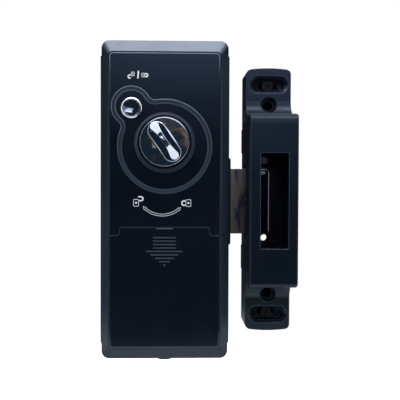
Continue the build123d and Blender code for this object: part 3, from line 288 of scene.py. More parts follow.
def blend(factor, first, second):
    """The colour between two colours."""
    made = put(factor.id_data, "ShaderNodeMix", {"Factor": factor}, data_type="RGBA")
    colours = [socket for socket in made.inputs if socket.type == "RGBA"]
    for socket, value in zip(colours, (first, second)):
        if isinstance(value, bpy.types.NodeSocket):
            factor.id_data.links.new(value, socket)
        else:
            socket.default_value = (*value[:3], 1.0)
    return next(socket for socket in made.outputs if socket.type == "RGBA")


def place_of(tree):
    """The place of each point of the surface."""
    return put(tree, "ShaderNodeTexCoord").outputs["Object"]


def axes_of(vector):
    """A vector's X, Y and Z."""
    return put(vector.id_data, "ShaderNodeSeparateXYZ", {0: vector}).outputs


def lie_of(tree):
    """Each point's X and Z, and its depth forward of the door."""
    axes = axes_of(place_of(tree))
    return {"X": axes["X"], "Z": axes["Z"], "depth": times(axes["Y"], -1.0)}


# Shader groups


def new_group(name, inputs, outputs):
    """An empty shader group: inputs map a name to its default, and outputs are numbers but for a Normal."""
    group = bpy.data.node_groups.new(name, "ShaderNodeTree")
    for label, default in inputs.items():
        kind = "NodeSocketVector" if isinstance(default, tuple) else "NodeSocketFloat"
        group.interface.new_socket(name=label, in_out="INPUT", socket_type=kind).default_value = default
    for label in outputs:
        kind = "NodeSocketVector" if label == "Normal" else "NodeSocketFloat"
        group.interface.new_socket(name=label, in_out="OUTPUT", socket_type=kind)
    return group, group.nodes.new("NodeGroupInput").outputs, group.nodes.new("NodeGroupOutput").inputs


def grain_group():
    """Moulded or cast skin: fine grain as a height, and slow blotches as a mask."""
    sizes = {"Scale": 4000.0, "Blotch Scale": 60.0}
    tree, given, result = new_group("surface_grain", sizes, ("Height", "Blotch"))
    place = place_of(tree)
    slow = noise(place, given["Blotch Scale"], 4.0)
    tree.links.new(noise(place, given["Scale"], 3.0), result["Height"])
    tree.links.new(ramp(slow, 0.35, 0.65), result["Blotch"])
    return tree


def streak_group():
    """Drawn or ground metal: noise stretched along one direction, as a height and as a mask."""
    stretch = {"Stretch": (3000.0, 3000.0, 60.0)}
    tree, given, result = new_group("drawn_streaks", stretch, ("Height", "Streak"))
    lines = noise(vectors("MULTIPLY", place_of(tree), given["Stretch"]), 1.0, 4.0)
    tree.links.new(lines, result["Height"])
    tree.links.new(ramp(lines, 0.3, 0.7), result["Streak"])
    return tree


def edge_group():
    """Edge wear and painted glint: where a rounded normal leaves the true one, broken up by noise. Also the
    rounded one.
    """
    tree, given, result = new_group("edge_wear_and_glint", {"Radius": 0.3 * MM, "Breaks": 1.0}, ("Wear And Glint", "Normal"))
    round_normal = put(tree, "ShaderNodeBevel", {"Radius": given["Radius"]}, samples=4).outputs["Normal"]
    true_normal = put(tree, "ShaderNodeNewGeometry").outputs["Normal"]
    edge = ramp(vectors("DOT_PRODUCT", round_normal, true_normal), 0.995, 0.9)
    whole = maths("SUBTRACT", 1.0, given["Breaks"])
    kept = most(ramp(noise(place_of(tree), 900.0, 3.0), 0.4, 0.6), whole)
    tree.links.new(maths("MULTIPLY", edge, kept, clamp=True), result["Wear And Glint"])
    tree.links.new(round_normal, result["Normal"])
    return tree


def dust_group():
    """Dust: a little on what faces up, in specks."""
    tree, given, result = new_group("settled_dust", {"Amount": 0.1}, ("Dust",))
    facing = axes_of(put(tree, "ShaderNodeNewGeometry").outputs["Normal"])["Z"]
    specks = ramp(noise(place_of(tree), 2600.0, 2.0), 0.55, 0.7)
    tree.links.new(times(specks, ramp(facing, -0.2, 1.0), given["Amount"]), result["Dust"])
    return tree


GROUP_MAKERS = {
    "surface_grain": grain_group, "drawn_streaks": streak_group,
    "edge_wear_and_glint": edge_group, "settled_dust": dust_group,
}


def group(tree, name, **values):
    """Places a shared group with its own values, and builds it the first time."""
    made = put(tree, "ShaderNodeGroup", node_tree=bpy.data.node_groups.get(name) or GROUP_MAKERS[name]())
    for label, value in values.items():
        made.inputs[label].default_value = value
    return made.outputs


# Finishes


def finish(colour, blotch, edge, rough, grain=(4000.0, 10.0), streak=None, wave=None, radius=0.25,
           breaks=1.0, dust=0.0, metallic=0.0, specular=0.5, tint=(1.0, 1.0, 1.0), paint=None, over=None):
    """A surface whose colour goes from colour to blotch with slow noise, and to edge along its edges.

    rough is the least and most roughness, and grain the fine noise's scale and its height in microns.
    streak, if given, is the stretch of drawn lines that take the grain's place. wave, if given, is the
    scale, and the height in microns, of slow waves that bend reflections. radius is how far edges are
    rounded and take the edge colour, in millimetres, and breaks how much that comes and goes. The edge
    colour is edge wear on most finishes and a painted glint on the covers. dust is how much lies on what
    faces up. tint colours the shine of what isn't metal. paint(tree, colour, rough) may change colour and
    roughness in places, for the thing's own colours and for painted light and shade, and over(tree, colour)
    the colour over the edges too.
    """
    material = bpy.data.materials.new("finish")
    material.use_nodes = True
    tree = material.node_tree
    shader = next(n for n in tree.nodes if n.type == "BSDF_PRINCIPLED")
    skin = group(tree, "surface_grain", Scale=grain[0])
    mask, height = skin["Blotch"], skin["Height"]
    if streak:
        drawn = group(tree, "drawn_streaks", Stretch=streak)
        mask, height = times(drawn["Streak"], mask), drawn["Height"]
    # Edge colour: edge wear on most finishes, a painted glint on the covers
    edge_look = group(tree, "edge_wear_and_glint", Radius=radius * MM, Breaks=breaks)
    base = blend(mask, colour, blotch)
    shine = ramp(mask, 0.0, 1.0, *rough)
    if paint:
        base, shine = paint(tree, base, shine)
    base = blend(edge_look["Wear And Glint"], base, edge)
    if over:
        base = over(tree, base)
    if dust:
        dust_colour = (0.35, 0.35, 0.36)
        base = blend(group(tree, "settled_dust", Amount=dust)["Dust"], base, dust_colour)
    normal = edge_look["Normal"]
    if wave:
        scale, swell = wave[0], wave[1] * MICRON
        waves = {"Distance": swell, "Height": noise(place_of(tree), scale, 0.0), "Normal": normal}
        normal = put(tree, "ShaderNodeBump", waves).outputs["Normal"]
    fine = {"Strength": 0.6, "Distance": grain[1] * MICRON, "Height": height, "Normal": normal}
    shader.inputs["Metallic"].default_value = metallic
    shader.inputs["Specular IOR Level"].default_value = specular
    shader.inputs["Specular Tint"].default_value = (*tint, 1.0)
    tree.links.new(base, shader.inputs["Base Color"])
    tree.links.new(shine, shader.inputs["Roughness"])
    tree.links.new(put(tree, "ShaderNodeBump", fine).outputs["Normal"], shader.inputs["Normal"])
    return material


def past_panel(tree, looks):
    """How far a point lies outside the panel's rounded outline, seen from the front.

    With q how far |X| and |Z| are past the middles of the corners' arcs, and nought where they aren't, it
    is the length of q less the arcs' radius.
    """
    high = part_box("front_cover")[1]
    arcs = (high.x - looks.side_border - looks.corner, 0.0, high.z - looks.end_border - looks.corner)
    away = vectors("SUBTRACT", vectors("ABSOLUTE", place_of(tree)), arcs)
    away = vectors("MULTIPLY", vectors("MAXIMUM", away), (1.0, 0.0, 1.0))
    return maths("SUBTRACT", vectors("LENGTH", away), looks.corner)


def cover_plastic(looks):
    """Covers: a smooth black panel, with a border and raised forms that are greyer and duller.

    Painted highlight and shade lines follow the panel's edges, and the covers' outer sides are painted
    lighter as painted sheen. The panel's lower half and the raised outline below the turn are painted
    lighter as painted reflection. The thumb catch's top edge, the outline's chamfers by the turn and the
    edges carry painted highlights.
    """
    turn = middle("turn_knob").z
    border_side, border_end = mm(31, 32), mm(88, 89)
    side_face, side_face_end = mm(34.5, 34.8), mm(94, 88)
    proud_of_panel = mm(0.1, 0.2, past=PANEL_DEPTH)
    # Painted highlights: one on the thumb catch's top edge, one on the raised outline's chamfers by the turn
    catch_painted_highlight, bevel_painted_highlight = (0.078, 0.092, 0.112), (0.15, 0.17, 0.22)

    def lie_on_cover(tree):
        """A point's lie, with how far it is from the cover's middle lines, aside and along."""
        lie = lie_of(tree)
        return {**lie, "aside": maths("ABSOLUTE", lie["X"]), "along": maths("ABSOLUTE", lie["Z"])}

    def two_tones(tree, base, shine):
        lie = lie_on_cover(tree)
        outside = most(within(lie, aside=border_side), within(lie, along=border_end))
        behind = times(within(lie, depth=mm(-0.2, -0.3, past=PANEL_DEPTH)), outside)
        proud = within(lie, depth=proud_of_panel)
        catch = within(lie, Z=mm(-1, -0.9, 0, 0.1, past=looks.catch), depth=proud_of_panel)
        # The raised outline is painted lighter below the turn, as a painted reflection
        under_turn = within(lie, Z=mm(0, -25, past=turn))
        raised = blend(under_turn, looks.band, scaled(looks.band, 1.6))
        on_battery_cover = within(lie, Z=mm(0, -2, past=looks.catch))
        raised = blend(on_battery_cover, raised, scaled(looks.band, 1.1))
        # The panel's lower half is painted lighter, as a painted reflection
        base = blend(within(lie, Z=mm(-88, -58, -18, 12)), base, looks.low_panel)
        base = blend(behind, base, looks.border)
        # Painted highlight along the thumb catch's top edge
        base = blend(catch, blend(proud, base, raised), catch_painted_highlight)
        # Painted highlight on the raised outline's chamfers, growing stronger from below the turn upwards
        bevel = mm(0.18, 0.24, 0.52, 0.58, past=PANEL_DEPTH)
        base = blend(within(lie, depth=bevel, Z=mm(-15, 20, past=turn)), base, bevel_painted_highlight)
        return base, add_where(shine, maths("ADD", behind, proud, clamp=True), 0.1)

    def edge_lines(tree, base):
        lie, past, fade = lie_on_cover(tree), past_panel(tree, looks), 0.05
        front = within(lie, depth=mm(-1.4, -1.3, past=PANEL_DEPTH))
        fading = ramp(lie["Z"], *mm(78, 90), 0.2, 1.0)
        # Where the painted highlight and shade lines run: along the top, along the bottom and down the right
        # side
        top = times(front, within(lie, Z=mm(60, 70)), fading)
        low = times(front, within(lie, Z=mm(-80, -88)))
        upper = times(within(lie, Z=mm(-10, 20)), within(lie, Z=mm(84, 70)))
        right = times(front, within(lie, X=mm(0, 1)), upper)
        left = times(within(lie, X=mm(0, -1)), ramp(lie["Z"], *mm(-10, 20), 0.35, 0.75))
        # The covers' outer sides are painted lighter, as painted sheen, weaker on the left side and most of all
        # high up
        sides = within(lie, aside=side_face, along=side_face_end)
        base = blend(times(sides, maths("SUBTRACT", 1.0, left)), base, looks.side)
        # Painted highlight and shade lines: each line's edge, its start and end in millimetres past the panel's
        # outline, and its colour. At the top a highlight then shade, at the bottom a highlight then a lighter
        # band, on the right shade then a highlight
        for edge, start, end, colour in (
            (top, -0.7, -0.05, (0.15, 0.165, 0.235)), (top, -0.05, 1.0, (0.002, 0.004, 0.008)),
            (low, -0.75, 0.2, (0.062, 0.073, 0.09)), (low, 0.2, 0.7, (0.055, 0.064, 0.078)),
            (right, -0.9, 0.3, (0.0011, 0.0034, 0.0078)), (right, 0.3, 1.2, (0.035, 0.045, 0.065)),
        ):
            line = band(past, *mm(start - fade, start + fade, end - fade, end + fade))
            base = blend(times(edge, line), base, colour)
        return base
    # The edge colour here is a painted glint along the covers' edges
    return finish(looks.panel, scaled(looks.panel, 1.25), (0.075, 0.095, 0.13), (0.22, 0.27),
                  grain=(5200.0, 4.0), radius=0.5, breaks=0.25, dust=0.01, specular=0.4,
                  tint=looks.gloss_tint, paint=two_tones, over=edge_lines)


def case_plastic(looks):
    """Rear case and battery tray: grained black."""
    return finish(looks.border, scaled(looks.border, 0.8), (0.03, 0.034, 0.042), (0.42, 0.52),
                  grain=(3600.0, 12.0), dust=0.015, specular=0.35, tint=looks.gloss_tint)


def strike_casting(looks):
    """Strike housing: satin powder coat over a zinc casting, dull and painted dark as shade in the screw holes.

    The box's top edge is duller and has a painted highlight line, and the ear's curve above it has a painted
    highlight too.
    """
    low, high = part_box("strike_housing")
    # Colours: painted shade in the holes, painted highlights on the box's top edge and on the ear's curve
    hole_painted_shade, edge_painted_highlight, curve_painted_highlight = (0.0004, 0.0008, 0.0015), (0.055, 0.063, 0.082), (0.022, 0.028, 0.038)

    def holes(tree, base, shine):
        lie = lie_of(tree)
        between = (*mm(2.5, 3.5, past=low.x), *mm(-7.5, -6.5, past=high.x))
        # Surfaces behind the ears' front, away from the ends, are painted dark as painted shade and made duller
        deep = within(lie, X=between, depth=mm(-0.5, -1, past=looks.ear))
        rim = within(lie, Z=mm(-1.6, -0.8, 4.6, 8, past=looks.box_top))
        dull = most(times(deep, 0.4), times(rim, 0.65))
        return blend(deep, base, hole_painted_shade), maths("ADD", shine, dull)

    def top_edge(tree, base):
        lie = lie_of(tree)
        # A painted highlight line along the box's top edge, fading in from below it
        line = within(lie, Z=mm(-2.6, -1.8, -1, -0.4, past=looks.box_top))
        under = ramp(lie["Z"], *mm(-5.5, -2.4, past=looks.box_top), 0.0, 0.28)
        front = within(lie, depth=mm(-1.5, -0.8, past=looks.box_front))
        base = blend(times(most(line, under), front), base, edge_painted_highlight)
        # Painted highlight on the ear's curve above the box
        curve = within(lie, Z=mm(3.5, 6.5, 8.5, 11, past=looks.box_top),
                       depth=mm(-1, -0.5, past=looks.ear))
        return blend(curve, base, curve_painted_highlight)
    return finish(looks.strike, scaled(looks.strike, 0.75), (0.10, 0.125, 0.16), (0.29, 0.36),
                  grain=(2600.0, 20.0), radius=0.8, breaks=0.6, dust=0.01, specular=0.72,
                  tint=looks.gloss_tint, paint=holes, over=top_edge)


def collar_satin(looks):
    """Collar: satin grey lacquer, turned, its lip by the knob painted black as shade and its rims painted
    lighter as highlights.
    """
    knob_radius, foot_radius = half_width("turn_knob"), half_width("turn_collar")
    # Near-black painted shade for the lip by the knob
    lip_painted_shade = (0.0003, 0.0004, 0.0006)

    def lip(tree, base, shine):
        spoke = vectors("SUBTRACT", place_of(tree), middle("turn_collar"))
        reach = vectors("LENGTH", vectors("MULTIPLY", spoke, (1.0, 0.0, 1.0)))
        # Painted shade: the lip next to the knob is painted near-black, and made a little smoother
        black = ramp(reach, *mm(1.9, 1.6, past=knob_radius))
        # Painted highlights on the inner rim, stronger at the top, and on the outer rim
        inner = ramp(reach, *mm(2.6, 2.1, past=knob_radius))
        outer = ramp(reach, *mm(-0.6, -0.3, past=foot_radius), 0.0, 0.5)
        upper = ramp(axes_of(spoke)["Z"], -foot_radius, foot_radius, 0.2, 1.3)
        rims = most(maths("MULTIPLY", inner, upper, clamp=True), outer)
        base = blend(rims, base, scaled(looks.collar, 2.4))
        return blend(black, base, lip_painted_shade), add_where(shine, black, -0.12)
    return finish(looks.collar, scaled(looks.collar, 0.85), (0.14, 0.15, 0.17), (0.28, 0.36),
                  grain=(4200.0, 6.0), radius=0.1, breaks=0.0, tint=looks.gloss_tint, paint=lip)


def black_metal(looks):
    """Faceplate, liner and strike base: blackened steel."""
    return finish((0.003, 0.004, 0.005), (0.005, 0.006, 0.007), (0.04, 0.04, 0.045), (0.34, 0.46),
                  grain=(3000.0, 10.0), tint=looks.gloss_tint)


def chrome_plate(looks):
    """Knob and bezel: bright chrome with faint haze."""
    return finish(looks.chrome, scaled(looks.chrome, 0.92), (0.9, 0.9, 0.92), (0.03, 0.07),
                  grain=(900.0, 2.0), wave=(150.0, 120.0), radius=0.1, metallic=1.0)


def mirror_cap(looks):
    """Button cap: darker chrome with handling marks."""
    return finish((0.62, 0.63, 0.66), (0.4, 0.41, 0.44), (0.8, 0.8, 0.82), (0.04, 0.14),
                  grain=(700.0, 8.0), wave=(330.0, 300.0), radius=0.1, metallic=1.0)


def bolt_steel(looks):
    """Bolt: ground steel with upright streaks, tarnish in patches, edge wear, and painted light and shade on its
    end.
    """
    plate, mouth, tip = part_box("bolt_faceplate")[1].x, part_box("strike_housing")[0].x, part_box("deadbolt")[1]
    # Painted light colours: a lighter strip by the faceplate, and glints on the end of the tip
    plate_side_light, painted_glint_colour = (0.60, 0.49, 0.33), (0.9, 0.88, 0.86)

    def tarnish(tree, base, shine):
        place, lie = place_of(tree), lie_of(tree)
        patch = put(tree, "ShaderNodeMapping", {"Vector": place, "Scale": (260.0, 260.0, 60.0)}).outputs[0]
        dark = ramp(noise(patch, 1.0, 5.0), 0.45, 0.6)
        base = blend(dark, base, looks.bolt_dark)
        # A lighter strip painted next to the faceplate, as painted light
        bare = ramp(lie["X"], *mm(3.5, 0, past=plate), 0.0, 0.7, soft=True)
        base = blend(bare, base, plate_side_light)
        # The end inside the strike is painted near-black with a blue cast, as painted shade
        head = within(lie, X=mm(0, 1.5, past=mouth))
        base = blend(head, base, looks.bolt_head)
        # Painted highlights on the tip's end face and the top edge of its end, and a painted reflection by its
        # top corner; these are rougher too
        end = within(lie, X=mm(-0.6, -0.4, past=tip.x))
        top = times(head, within(lie, Z=mm(-0.7, -0.5, past=tip.z)))
        corner_reflection = within(lie, X=mm(-6.5, -5, -4, -1.5, past=tip.x), Z=mm(-4, -2.6, -2, -1, past=tip.z))
        painted_glints = most(most(end, top), times(corner_reflection, 0.6))
        shine = add_where(shine, dark, 0.12)
        return blend(painted_glints, base, painted_glint_colour), add_where(shine, painted_glints, 0.3)
    return finish(looks.bolt, scaled(looks.bolt, 0.7), (0.6, 0.58, 0.54), (0.3, 0.42),
                  grain=(3000.0, 10.0), streak=(2600.0, 2600.0, 70.0), metallic=1.0, paint=tarnish)


def plate_steel(looks):
    """Pressed plates, rack and spindle: zinc-plated steel, drawn upright."""
    return finish((0.42, 0.43, 0.45), (0.33, 0.34, 0.36), (0.7, 0.7, 0.72), (0.28, 0.42),
                  grain=(2500.0, 8.0), streak=(1800.0, 1800.0, 120.0), metallic=1.0)


def gear_metal(looks):
    """Hub gear: sintered steel, fine pores."""
    return finish((0.3, 0.29, 0.28), (0.22, 0.21, 0.2), (0.62, 0.6, 0.58), (0.4, 0.55),
                  grain=(5000.0, 20.0), metallic=1.0)


def screw_steel(looks):
    """Bright zinc screws."""
    return finish((0.55, 0.56, 0.58), (0.45, 0.46, 0.48), (0.8, 0.8, 0.82), (0.22, 0.35),
                  grain=(3500.0, 6.0), metallic=1.0)


def screw_black(looks):
    """Black oxide screws."""
    return finish((0.004, 0.0045, 0.006), (0.007, 0.0075, 0.009), (0.10, 0.10, 0.11), (0.3, 0.45),
                  grain=(3500.0, 6.0), metallic=0.2, specular=0.25)


def bush_brass(looks):
    """Bushes and pinion: brass."""
    return finish((0.62, 0.43, 0.18), (0.5, 0.34, 0.14), (0.85, 0.66, 0.34), (0.25, 0.38),
                  grain=(3000.0, 6.0), metallic=1.0)


def gear_plastic(looks):
    """Idler: natural acetal."""
    return finish((0.72, 0.7, 0.62), (0.66, 0.64, 0.56), (0.8, 0.78, 0.7), (0.35, 0.45),
                  grain=(3000.0, 10.0), specular=0.4)


def motor_can(looks):
    """Motor can: nickelled steel, drawn along its length."""
    return finish((0.58, 0.56, 0.52), (0.5, 0.48, 0.44), (0.8, 0.78, 0.74), (0.2, 0.34),
                  grain=(2500.0, 6.0), streak=(1500.0, 80.0, 1500.0), metallic=1.0)


def switch_black(looks):
    """Switches, chips, buzzer and motor cap: black glass-filled nylon."""
    return finish((0.014, 0.014, 0.015), (0.02, 0.02, 0.021), (0.06, 0.06, 0.062), (0.45, 0.6),
                  grain=(2800.0, 15.0))


def board_green(looks):
    """Control board: green lacquer, lighter over the traces."""
    def traces(tree, base, shine):
        flat = {"Vector": place_of(tree), "Rotation": (math.pi / 2, 0.0, 0.0)}
        grid = {"Vector": put(tree, "ShaderNodeMapping", flat).outputs[0], "Scale": 260.0,
                "Mortar Size": 0.035, "Brick Width": 0.8, "Row Height": 0.35}
        line = put(tree, "ShaderNodeTexBrick", grid).outputs["Fac"]
        return blend(line, base, (0.02, 0.16, 0.05)), add_where(shine, line, -0.08)
    return finish((0.008, 0.075, 0.025), (0.01, 0.09, 0.03), (0.4, 0.36, 0.2), (0.25, 0.32),
                  grain=(2000.0, 6.0), paint=traces)


def socket_white(looks):
    """Cable socket and plunger: white nylon."""
    return finish((0.74, 0.73, 0.68), (0.68, 0.67, 0.62), (0.8, 0.8, 0.76), (0.38, 0.5),
                  grain=(2600.0, 10.0))


def contact_nickel(looks):
    """Contacts and springs: nickelled steel."""
    return finish((0.66, 0.63, 0.58), (0.56, 0.53, 0.48), (0.85, 0.83, 0.78), (0.16, 0.3),
                  grain=(3000.0, 4.0), metallic=1.0)


def magnet_nickel(looks):
    """Magnet: dull nickel."""
    return finish((0.24, 0.22, 0.21), (0.17, 0.15, 0.145), (0.4, 0.38, 0.36), (0.4, 0.55),
                  grain=(3000.0, 6.0), metallic=0.1)


def cell_jacket(looks):
    """Cells: a dark film with a copper band by the button end, bare metal at both ends.

    The piece's own attribute "along" goes from 0 at the flat end to 1 at the button's tip.
    """
    def bands(tree, base, shine):
        along = put(tree, "ShaderNodeAttribute", attribute_name="along").outputs["Fac"]
        metal = maths("ADD", maths("LESS_THAN", along, looks.crimp),
                      maths("GREATER_THAN", along, looks.bare_from))
        base = blend(maths("GREATER_THAN", along, looks.copper_from), base, looks.copper)
        return blend(metal, base, (0.6, 0.58, 0.55)), add_where(shine, metal, -0.1)
    return finish((0.016, 0.016, 0.018), (0.022, 0.022, 0.025), (0.1, 0.1, 0.1), (0.26, 0.36),
                  grain=(1800.0, 6.0), paint=bands)


def legend_ink(looks):
    """White printing ink."""
    return finish(looks.ink, scaled(looks.ink, 0.9), looks.ink, (0.45, 0.6),
                  grain=(5200.0, 3.0), radius=0.02)


FINISHES = (
    cover_plastic, case_plastic, strike_casting, collar_satin, black_metal, chrome_plate, mirror_cap,
    bolt_steel, plate_steel, gear_metal, screw_steel, screw_black, bush_brass, gear_plastic, motor_can,
    switch_black, board_green, socket_white, contact_nickel, magnet_nickel, cell_jacket, legend_ink,
)


def dress(made, finish_name):
    """Gives a piece one finish, made the first time that it is asked for."""
    material = bpy.data.materials.get(finish_name + "_finish")
    if material is None:
        maker = next(maker for maker in FINISHES if maker.__name__ == finish_name)
        material = maker(bpy.context.scene.lock_looks)
        material.name = finish_name + "_finish"
    if not made.material_slots:
        made.data.materials.append(material)
    for place in made.material_slots:
        place.material = material


# Settings


def size(name, default, note):
    """A length property, given here in millimetres."""
    return FloatProperty(name=name, description=note, default=default * MM, unit="LENGTH")


def tone(name, default, note):
    """A colour property."""
    return FloatVectorProperty(name=name, description=note, default=default, size=3, min=0.0,
                               subtype="COLOR")


def angle(name, default, note):
    """An angle property, given here in radians."""
    return FloatProperty(name=name, description=note, default=default, subtype="ANGLE")


def number(name, default, note):
    """A property without a unit of Blender's."""
    return FloatProperty(name=name, description=note, default=default)


class LockLooks(bpy.types.PropertyGroup):
    """Colours of the finishes, and the places where they change."""
    panel: tone("Panel", (0.0011, 0.0034, 0.0078), "Smooth panel of the covers")
    # Painted reflection: the lower half of the panel is painted lighter
    low_panel: tone("Lower panel", (0.0027, 0.0058, 0.0104), "Lower half of the panel")
    border: tone("Border", (0.0046, 0.0100, 0.0165), "Border of the covers")
    # Painted sheen: the covers' outer side faces are painted lighter
    side: tone("Side border", (0.0165, 0.0265, 0.0385), "Side faces of the covers' border")
    side_border: size("Side border width", 6.1, "Width of the covers' border at the sides, with its groove")
    end_border: size("End border width", 10.0, "Width of the covers' border at the ends, with its groove")
    corner: size("Panel corner", 2.4, "Radius of the panel's corners")
    band: tone("Band", (0.0145, 0.0220, 0.0330), "Raised outline and grip bars")
    strike: tone("Strike", (0.0010, 0.0046, 0.0095), "Powder coat of the strike")
    gloss_tint: tone("Gloss tint", (0.68, 0.84, 1.0), "Tint of the shine on black plastic and lacquer")
    collar: tone("Collar", (0.0255, 0.0345, 0.0500), "Lacquer of the collar")
    chrome: tone("Chrome", (0.78, 0.79, 0.82), "Chrome of the knob and bezel")
    bolt: tone("Bolt", (0.46, 0.385, 0.30), "Ground steel of the bolt")
    bolt_dark: tone("Bolt tarnish", (0.09, 0.095, 0.11), "Tarnish on the bolt")
    # Painted shade: the end of the bolt inside the strike takes this colour
    bolt_head: tone("Bolt head", (0.004, 0.007, 0.014), "Blued end of the bolt")
    ink: tone("Ink", (0.84, 0.86, 0.90), "Printed signs")
    ear: size("Strike ear", 15.2, "Depth of the strike's ears")
    box_front: size("Strike front", 34.0, "Depth of the front of the strike's box")
    box_top: size("Strike top", 53.4, "Height of the top of the strike's box")
    catch: size("Thumb catch", -16.45, "Height of the thumb catch's upper edge")
    copper: tone("Cell band", (0.42, 0.19, 0.08), "Band at the button end of a cell")
    copper_from: number("Band start", 0.78, "Where a cell's band starts, as a share of its length")
    crimp: number("Crimp", 0.018, "Where a cell's film starts, as a share of its length")
    bare_from: number("Bare end", 0.962, "Where a cell's film ends, as a share of its length")


class KnobSizes(bpy.types.PropertyGroup):
    """Shape of the thumb turn's knob."""
    lean: angle("Lean", math.radians(35.0), "Blade's lean from upright")
    edge: size("Edge radius", 0.35, "Rounding of the disc's edge")
    disc: size("Disc height", 6.1, "Height of the disc")
    crown: size("Crown", 0.12, "How far the disc falls away to its edge")
    bore: size("Bore radius", 4.0, "Hole for the spindle")
    bore_depth: size("Bore depth", 4.0, "Depth of the hole for the spindle")
    bore_chamfer: size("Bore chamfer", 0.3, "Chamfer of the hole for the spindle")
    foot_half: size("Foot half length", 13.4, "Half the blade's length at its foot")
    foot_radius: size("Foot radius", 5.3, "Half the blade's width at its foot")
    shoulder: size("Shoulder", 0.7, "Height of the lip round the blade's foot")
    lip: size("Lip", 0.25, "Rounding of the lip round the blade's foot")
    crest_half: size("Crest half length", 13.1, "Half the blade's length at its crest")
    crest_radius: size("Crest end radius", 2.6, "Rounded ends of the crest")
    crest_edge: size("Crest edge", 0.35, "How far the crest's edge lies under its middle line")
    waist: size("Waist", 1.25, "Half the crest's width at its middle")
    level_half: size("Level half", 3.6, "Half the length over which the crest is level")
    turn_over: size("Turn over", 1.2, "Length over which the crest turns from level to its slope")
    slope: angle("Slope", math.radians(31.0), "Slope of the crest's ends")


class ButtonSizes(bpy.types.PropertyGroup):
    """Shape of the push button and its bezel."""
    ring: size("Ring", 0.95, "Bezel's width")
    sleeve: size("Sleeve", 0.55, "Wall of the bezel's sleeve behind the panel")
    ring_height: size("Ring height", 2.2, "Bezel's height over the panel")
    crest: size("Crest radius", 0.12, "Rounding of the bezel's crest")
    slope: angle("Slope", math.radians(36.0), "Slope of the bezel's face")
    dish: size("Dish", 0.75, "Depth of the finger dish")
    edge: size("Edge radius", 0.25, "Rounding of the cap's edge")
    skirt: size("Skirt", 0.7, "Flange that holds the cap in")


class CellSizes(bpy.types.PropertyGroup):
    """Shape of the cells and their springs."""
    count: IntProperty(name="Cells", description="Cells side by side", default=4, min=1)
    radius: size("Cell radius", 7.1, "Radius of a cell")
    body: size("Body", 49.0, "Length of a cell without its button")
    roll: size("Roll", 0.6, "Rounding of a cell's two ends")
    film: size("Film", 0.12, "Thickness of a cell's film")
    hollow: size("Hollow", 0.25, "Depth of the hollows in a cell's two ends")
    nub: size("Nub", 1.5, "Height of a cell's button")
    nub_radius: size("Nub radius", 2.75, "Radius of a cell's button")
    nub_edge: size("Nub edge", 0.5, "Rounding of a cell's button")
    spring_foot: size("Spring foot", 3.6, "Outer radius of a spring at its foot")
    spring_tip: size("Spring tip", 2.4, "Outer radius of a spring at its tip")
    wire: size("Wire", 0.35, "Radius of the spring wire")
    turns: number("Turns", 4.0, "Turns of a spring")


class SignSizes(bpy.types.PropertyGroup):
    """Signs printed on the panel."""
    ink: size("Ink", 0.03, "Thickness of the ink")
    thin_line: size("Thin line", 0.24, "Width of the arrow's outline")
    fine_line: size("Fine line", 0.3, "Width of the padlocks' bodies")
    bold_line: size("Bold line", 0.75, "Width of the padlocks' bows and the bar")
    arrow: size("Arrow", 1.2, "Width of the arrow's band")
    arrow_reach: size("Arrow radius", 15.75, "Radius of the arrow's arc")
    arrow_height: size("Arrow height", 7.06, "Height of the middle of the arrow's arc")
    small: size("Small sign", 2.25, "Height of a padlock over the button")
    large: size("Large sign", 4.1, "Height of a padlock under the turn")
    high: size("Top row", 76.6, "Height of the row over the button")
    low: size("Bottom row", -1.2, "Height of the row under the turn")


class StudioSettings(bpy.types.PropertyGroup):
    """Camera, floor and lamps."""
    eye: FloatVectorProperty(name="Eye", description="Place of the camera", size=3, subtype="TRANSLATION",
                             default=mm(5.82, -289.43, 10.79))
    turn: angle("Turn", 0.017, "Camera turned towards +X")
    nod: angle("Nod", -0.015, "Camera turned up")
    roll: angle("Roll", -0.003, "Camera rolled")
    focal: number("Focal length", 413.23, "In pixels of the 400 px frame")
    centre_x: number("Centre X", 181.17, "Optical centre from the left, in pixels")
    centre_y: number("Centre Y", 189.55, "Optical centre from the top, in pixels")
    floor_drop: size("Floor drop", 60.0, "How far the floor lies under the lock")
    floor_radius: size("Floor radius", 260.0, "Radius of the floor")
    top_lamp: number("Top lamp", 8.8, "Power of the lamp overhead, in watts")
    front_lamp: number("Front lamp", 3.5, "Power of the lamp in front, in watts")


SETTINGS = {
    "lock_looks": LockLooks, "lock_knob": KnobSizes, "lock_button": ButtonSizes, "lock_cells": CellSizes,
    "lock_signs": SignSizes, "lock_studio": StudioSettings,
}


# Thumb turn


def stadium(half, radius, waist, side_steps=72, end_steps=33):
    """A closed outline (u, v), long in u: two ends of a radius, and sides that draw in to a waist.

    A side's v is waist + (radius - waist) (u / a)^2, with a the distance of the ends' centres from the
    middle.
    """
    reach = half - radius
    u = np.linspace(reach, -reach, side_steps + 1)[1:-1]
    v = waist + (radius - waist) * (u / reach) ** 2
    right = arc((reach, 0.0), radius, -90.0, 90.0, end_steps)
    return np.concatenate([right, np.stack([u, v], -1), right * (-1.0, -1.0), np.stack([-u, -v], -1)])


